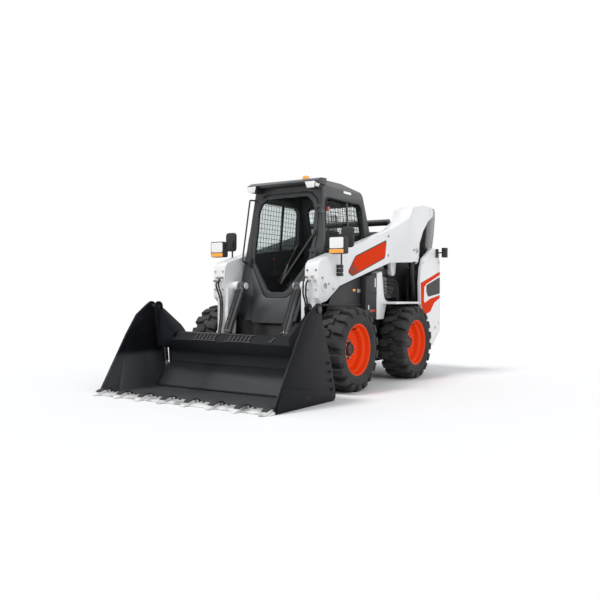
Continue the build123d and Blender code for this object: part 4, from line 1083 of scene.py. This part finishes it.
def arm_pins():
    """Pin bosses, their caps and the bolts beside them."""
    bosses = Form()
    for at, radius, face, deep in ((LIFT_HEAD, 0.052, FORK_FACE, 0.004), (ARM_PIN, 0.046, FORK_FACE, 0.003),
                                   (TILT_HEAD, 0.060, ARM_FACE, 0.010), (CARRIER_PIN, 0.040, LEG_FACE, 0.003)):
        bosses.pin(at, radius, face, face + deep, 36)
    bosses.mirrored().piece("pin_bosses", "lift_arm", WHITE, 0.002, "white_paint")
    caps = Form()
    for at, face in ((LIFT_HEAD, FORK_FACE + 0.004), (TILT_HEAD, ARM_FACE + 0.010)):
        caps.pin(at, 0.030, face, face + 0.005)
    for at in (LIFT_HEAD, ARM_PIN):
        caps.pin(at, 0.036, FORK_INNER - 0.006, FORK_INNER - 2 * OFF)
    caps.mirrored().piece("pin_caps", "lift_arm", BOLT, 0.0015)
    (lift_y, lift_z), (tilt_y, tilt_z) = LIFT_HEAD, TILT_HEAD
    at = [(FORK_FACE, lift_y + dy, lift_z) for dy in (0.072, -0.072)]
    at += [(ARM_FACE, tilt_y + dy, tilt_z + dz) for dy, dz in ((0.078, 0.02), (-0.04, 0.078))]
    at += [(ARM_FACE, y, z) for y, z in ((0.112, 1.225), (-0.060, 1.020), (1.180, 1.640), (1.180, 1.420))]
    bolts("arm_bolts", at, OUTWARD, "lift_arm", BOLT, 0.020, 0.010, 0.014)


def knuckle_fittings():
    """Hose couplings and bolts on the arms' knuckles, and the hoses down the legs."""
    couplings = Form()
    for n in range(4):
        x, z = 0.530 + 0.032 * n, 1.135 - 0.035 * (n % 2)
        couplings.bar((x, KNUCKLE_FACE, z), (x, -0.378, z), 0.0135, 6)
        couplings.bar((x, -0.376, z), (x, -0.392, z), 0.0095, 16)
    couplings.mirrored().piece("front_couplings", "lift_arm", BOLT, 0.001)
    at = [(x, KNUCKLE_FACE, z) for x, z in ((0.530, 1.20), (0.630, 1.20), (0.530, 1.010), (0.630, 1.010))]
    bolts("knuckle_bolts", at, FORWARD, "lift_arm", BOLT, 0.018, 0.008, 0.012)
    lines = []
    for n in range(2):
        top, foot, drop = 0.530 + 0.032 * n, 0.520 + 0.024 * n, 0.035 * n
        lines.append([(top, -0.388, 1.135 - drop), (top, -0.420, 1.110 - drop), (top, -0.424, 1.04),
                      (0.512 + 0.03 * n, -0.400, 0.960), (foot, -0.372, 0.90), (foot + 0.004, -0.362, 0.80),
                      (foot + 0.004, -0.372, 0.640), (foot + 0.004, -0.400, 0.540)])
    tubes("leg_hoses", lines, 0.0085, "lift_arm", HOSE, both=True)


class Slant:
    """A slanting line seen from the side, between (y, z) points."""

    def __init__(self, start, end):
        self.start, whole = Vector(start), Vector(end) - Vector(start)
        self.length, self.way = whole.length, whole.normalized()
        self.out = Vector((-self.way.y, self.way.x))
        if self.out.x > 0:
            self.out.negate()

    def at(self, x, distance, off=0.0):
        """A point at a distance from the start, and off the line towards the front."""
        return (x, *(self.start + self.way * distance + self.out * off))


def cylinder_lines():
    """Steel pipes along the tilt and lift barrels that ride on them, and the barrels' collars."""
    tilt, lift = Slant(TILT_HEAD, TILT_FOOT), Slant(LIFT_FOOT, LIFT_HEAD)
    tilt_x, lift_x = 0.355, 0.715
    lines = [[tilt.at(x, distance, off) for distance, off in (
        (0.060, 0.045), (0.085, 0.055), (0.150, 0.052), (0.380, 0.050), (0.500, 0.052), (0.525, 0.040))]
        for x in (tilt_x - 0.018, tilt_x + 0.018)]
    tubes("tilt_pipes", lines, 0.0065, "tilt_barrels", HOSE, both=True)
    collars = Form()
    for near, far, radius in ((0.522, 0.549, 0.046), (0.070, 0.095, 0.044)):
        collars.bar(tilt.at(tilt_x, near), tilt.at(tilt_x, far), radius, 32)
    collars.mirrored().piece("tilt_collars", "tilt_barrels", CYLINDER, 0.002)
    line = [lift.at(lift_x, distance, off) for distance, off in (
        (0.10, 0.040), (0.13, 0.050), (0.60, 0.050), (0.88, 0.050), (0.91, 0.040))]
    tubes("lift_pipes", [line], 0.008, "lift_barrels", HOSE, both=True)
    ends = Form().bar(lift.at(lift_x, 0.925), lift.at(lift_x, 0.955), 0.043, 32)
    ends.mirrored().piece("lift_collars", "lift_barrels", BLACK, 0.002)


# --------------------------------------------------------- tower, machinery and tail
def flush(name, plaques, face, finish, ease=0.0008, slot=None):
    """Thin plates on a side face, each as (y and z ranges, corner radius, off the face, to), on both sides."""
    form = Form()
    for *ranges, radius, off, to in plaques:
        form.side(plaque(*ranges, radius), face + off, face + to)
    form.mirrored().piece(name, "chassis", finish, ease, slot)


def tower():
    """Reflectors, a marker, a latch, bolts and vents on the dark covers between the wheels."""
    flush("tower_reflectors", ((0.852, 0.874, 1.050, 1.150, 0.006, OFF, 0.003),
                               (0.700, 0.722, 0.800, 0.850, 0.006, OFF, 0.003)), TOWER_FACE, REFLECTOR)
    flush("tower_red_strips", ((0.742, 0.900, 0.775, 0.800, 0.004, OFF, 0.003),), TOWER_FACE, RED, 0.0008,
          "dark_plastic")
    flush("cover_markers", ((0.470, 0.520, 1.000, 1.026, 0.008, 0, 0.006),), COVER_FACE, AMBER, 0.001, "amber_lens")
    flush("cover_latches", ((0.560, 0.640, 0.985, 1.030, 0.01, 0, 0.008),
                            (0.575, 0.625, 0.998, 1.016, 0.006, 0.007, 0.014)), COVER_FACE, BOLT, 0.002)
    at = [(TOWER_FACE, y, z) for y, z in (
        (0.685, 1.150), (0.880, 1.200), (0.740, 0.745), (0.880, 0.745), (0.885, 0.980))]
    bolts("tower_bolts", at, OUTWARD, "chassis", BOLT_BLACK, 0.016, 0.007, 0.012)
    slat = Form().side(corners(0.685, 0.840, 0.880, 0.886), TOWER_FACE + OFF, TOWER_FACE + 0.004)
    rows = Form()
    rows.mesh.from_mesh(ROW.grow(slat.plain(), finish=COVER, copies=7, step=(0.0, 0.0, 0.022)))
    rows.mirrored().piece("tower_vents", "chassis", COVER, 0)


def machinery():
    """Valve block, fittings and hoses between the tower and the tail."""
    blocks = Form()
    for low, high in (((0.504, 1.115, 0.960), (0.556, 1.330, 1.175)), ((0.504, 1.370, 0.930), (0.545, 1.560, 1.060)),
                      ((0.504, 1.140, 1.215), (0.540, 1.300, 1.300))):
        blocks.box(low, high)
    blocks.mirrored().piece("valve_blocks", "chassis", CAST, 0.006, "engine_iron", segments=3)
    spools, lines = Form(), []
    ports = 5
    for n in range(ports):
        z, drop = 0.990 + 0.038 * n, 0.030 * n
        for y, x_from, x_to, radius, sides in ((1.150, 0.555, 0.590, 0.014, 18), (1.290, 0.555, 0.580, 0.016, 6),
                                               (1.290, 0.578, 0.594, 0.010, 16)):
            spools.pin((y, z), radius, x_from, x_to, sides)
        lines.append([(0.590, 1.290, z), (0.620, 1.300, z), (0.632, 1.345 + drop, z - 0.01),
                      (0.615, 1.42 + drop, z - 0.05 - drop), (0.570, 1.52 + drop, 0.975 - drop),
                      (0.545, 1.62, 0.950 - drop), (0.525, 1.72, 0.965 - drop), (0.508, 1.775, 0.985 - drop)])
    spools.mirrored().piece("valve_fittings", "chassis", BOLT, 0.001)
    for n in range(3):
        lines.append([(0.520, 1.16 + 0.05 * n, 1.298), (0.528, 1.17 + 0.05 * n, 1.40), (0.535, 1.24 + 0.04 * n, 1.47),
                      (0.520, 1.36 + 0.03 * n, 1.455), (0.508, 1.44 + 0.03 * n, 1.40)])
    tubes("machine_hoses", lines, 0.0115, "chassis", HOSE, both=True)
    clips = Form()
    for n in range(3):
        clips.box((0.500, 1.60 + 0.05 * n, 0.875), (0.520, 1.612 + 0.05 * n, 0.960))
    clips.mirrored().piece("hose_clips", "chassis", BOLT_BLACK, 0.002)


def tail():
    """Swoosh and plain dark panel on the tail, bolts, rear lamps' lenses and the tailgate's latch."""
    swoosh = [(1.716, 1.112), (2.300, 1.262), (2.318, 1.262), (2.318, 1.226), (1.880, 1.102), (1.822, 1.062),
              (1.812, 0.900), (1.848, 0.872), (2.000, 0.920), (2.318, 0.968), (2.318, 0.934), (2.131, 0.867),
              (2.022, 0.768), (1.848, 0.728), (1.732, 0.841)]
    panel = rounded([(1.886, 1.088), (2.318, 1.196), (2.318, 0.990), (1.940, 0.946), (1.890, 1.008)], 0.02)
    for name, outline, to, finish, slot in (("tail_swoosh", swoosh, 0.0020, DECAL, "orange_paint"),
                                            ("tail_panel", panel, 0.0022, TRIM, None)):
        Form().side(outline, TAIL_FACE + OFF, TAIL_FACE + to).mirrored().piece(name, "chassis", finish, 0, slot)
    bolts("tail_bolts", [(TAIL_FACE, *LIFT_FOOT)], OUTWARD, "chassis", BOLT, 0.034, 0.014, 0.030)
    at = [(TAIL_FACE, y, z) for y, z in (
        (1.790, 1.360), (2.190, 1.490), (2.280, 0.620), (2.020, 0.420), (2.290, 1.380))]
    bolts("tail_small_bolts", at, OUTWARD, "chassis", BOLT, 0.013, 0.006, 0.010)
    red = Form().front(plaque(0.910, 0.960, 1.448, 1.552, 0.010), 2.2385, 0.006)
    red.mirrored().piece("rear_lamp_lenses", "chassis", RED, 0.002, "dark_plastic")
    plugs = Form()
    for y in (2.185, 2.230):
        plugs.bar((0.836, y, 1.522), (0.836, y, 1.548), 0.011, 16)
    plugs.mirrored().piece("lamp_plugs", "chassis", PLASTIC, 0.001)
    latch = Form().front(plaque(0.360, 0.440, 0.940, 1.060, 0.012), GATE_FACE + OFF, 0.004)
    latch.front(plaque(0.385, 0.415, 0.965, 1.035, 0.008), GATE_FACE + 0.004, 0.006)
    latch.piece("tailgate_latch", "tailgate", PLASTIC, 0.0015)


# -------------------------------------------------------------------- the bucket
TEETH = 8
TOOTH_SPAN = CLAM_FACE - 0.052                    # the outermost teeth, from the middle
EDGE_TOP = 0.0245                                 # top of the cutting edge


def bucket_fittings():
    """Step treads on the box, bolts on the sides, wear strips and tooth shanks."""
    slope = Slant((-0.928, 0.500), (-0.845, 0.575))

    def on_slope(form, quad, off, thick):
        """Adds a plate from (x, share of the slope's length) corners."""
        form.prism([slope.at(x, share * slope.length, off) for x, share in quad], (0, *(slope.out * thick)))

    treads = Form()
    count = 6
    for start, end in ((-0.445, -0.166), (-0.023, 0.254)):
        for n in range(count):
            x = start + (end - start) * (n + 0.5) / count
            on_slope(treads, corners(x - 0.014, x + 0.014, 0.18, 0.84), 0.0004, 0.006)
    treads.piece("step_treads", "carrier", HOSE, 0.002, "black_steel")
    edges = Form()
    for start, end in ((-0.462, -0.150), (-0.040, 0.271)):
        for share in (0.10, 0.90):
            on_slope(edges, corners(start, end, share - 0.04, share + 0.04), 0.0003, 0.008)
    on_slope(edges, ((0.470, 0.20), (0.486, 0.20), (0.520, 0.80), (0.504, 0.80)), 0.0004, 0.005)
    edges.piece("step_edges", "carrier", BLACK, 0.0015, "black_steel")

    at = [(CLAM_FACE, y, z) for y, z in (
        (-0.672, 0.110), (-0.690, 0.190), (-0.712, 0.270), (-0.735, 0.350), (-0.700, 0.060))]
    bolts("side_bolts", at, OUTWARD, "clam", BOLT_BLACK, 0.024, 0.010, 0.018)
    pins = Form().pin(CLAM_PIN, 0.030, CLAM_FACE + OFF, CLAM_FACE + 0.010, 32)
    pins.mirrored().piece("clam_pin_collars", "clam", BLACK, 0.002, "black_steel")
    strips = Form().side([(-1.500, 0.155), (-1.470, 0.205), (-0.640, 0.075), (-0.630, 0.030), (-1.560, 0.012),
                          (-1.555, 0.060)], CLAM_FACE + OFF, CLAM_FACE + 0.009)
    strips.mirrored().piece("side_wear_strips", "clam", BUCKET, 0.002, "bucket_paint")

    shanks = Form()
    outline = [(-1.655, 0.031), (-1.630, 0.048), (-1.590, 0.058), (-1.540, 0.060), (-1.505, 0.046),
               (-1.488, EDGE_TOP), (-1.522, EDGE_TOP), (-1.522, 0.0465), (-1.600, 0.0465)]
    pitch = 2 * TOOTH_SPAN / (TEETH - 1)
    for n in range(TEETH):
        x = pitch * n - TOOTH_SPAN
        shanks.side(outline, x - 0.033, x + 0.033)
        shanks.pin((-1.560, 0.036), 0.007, x - 0.036, x + 0.036, 14)
    shanks.piece("tooth_shanks", "clam", SHANK, 0.003, "bucket_paint")
    at = [(pitch * (n + 0.5) - TOOTH_SPAN + dx, -1.520, 0.0242) for n in range(TEETH - 1) for dx in (-0.05, 0.05)]
    bolts("edge_bolts", at, (0, 0, 1), "clam", BOLT_BLACK, 0.022, 0.007, 0.015, both=False)


bpy.context.scene.view_settings.view_transform = "Standard"
for make in (camera, stage, shells, wheels, windows, seat, controls, roof, door_fittings, lamp_set, arm_panels,
             arm_pins, knuckle_fittings, cylinder_lines, tower, machinery, tail, bucket_fittings):
    make()
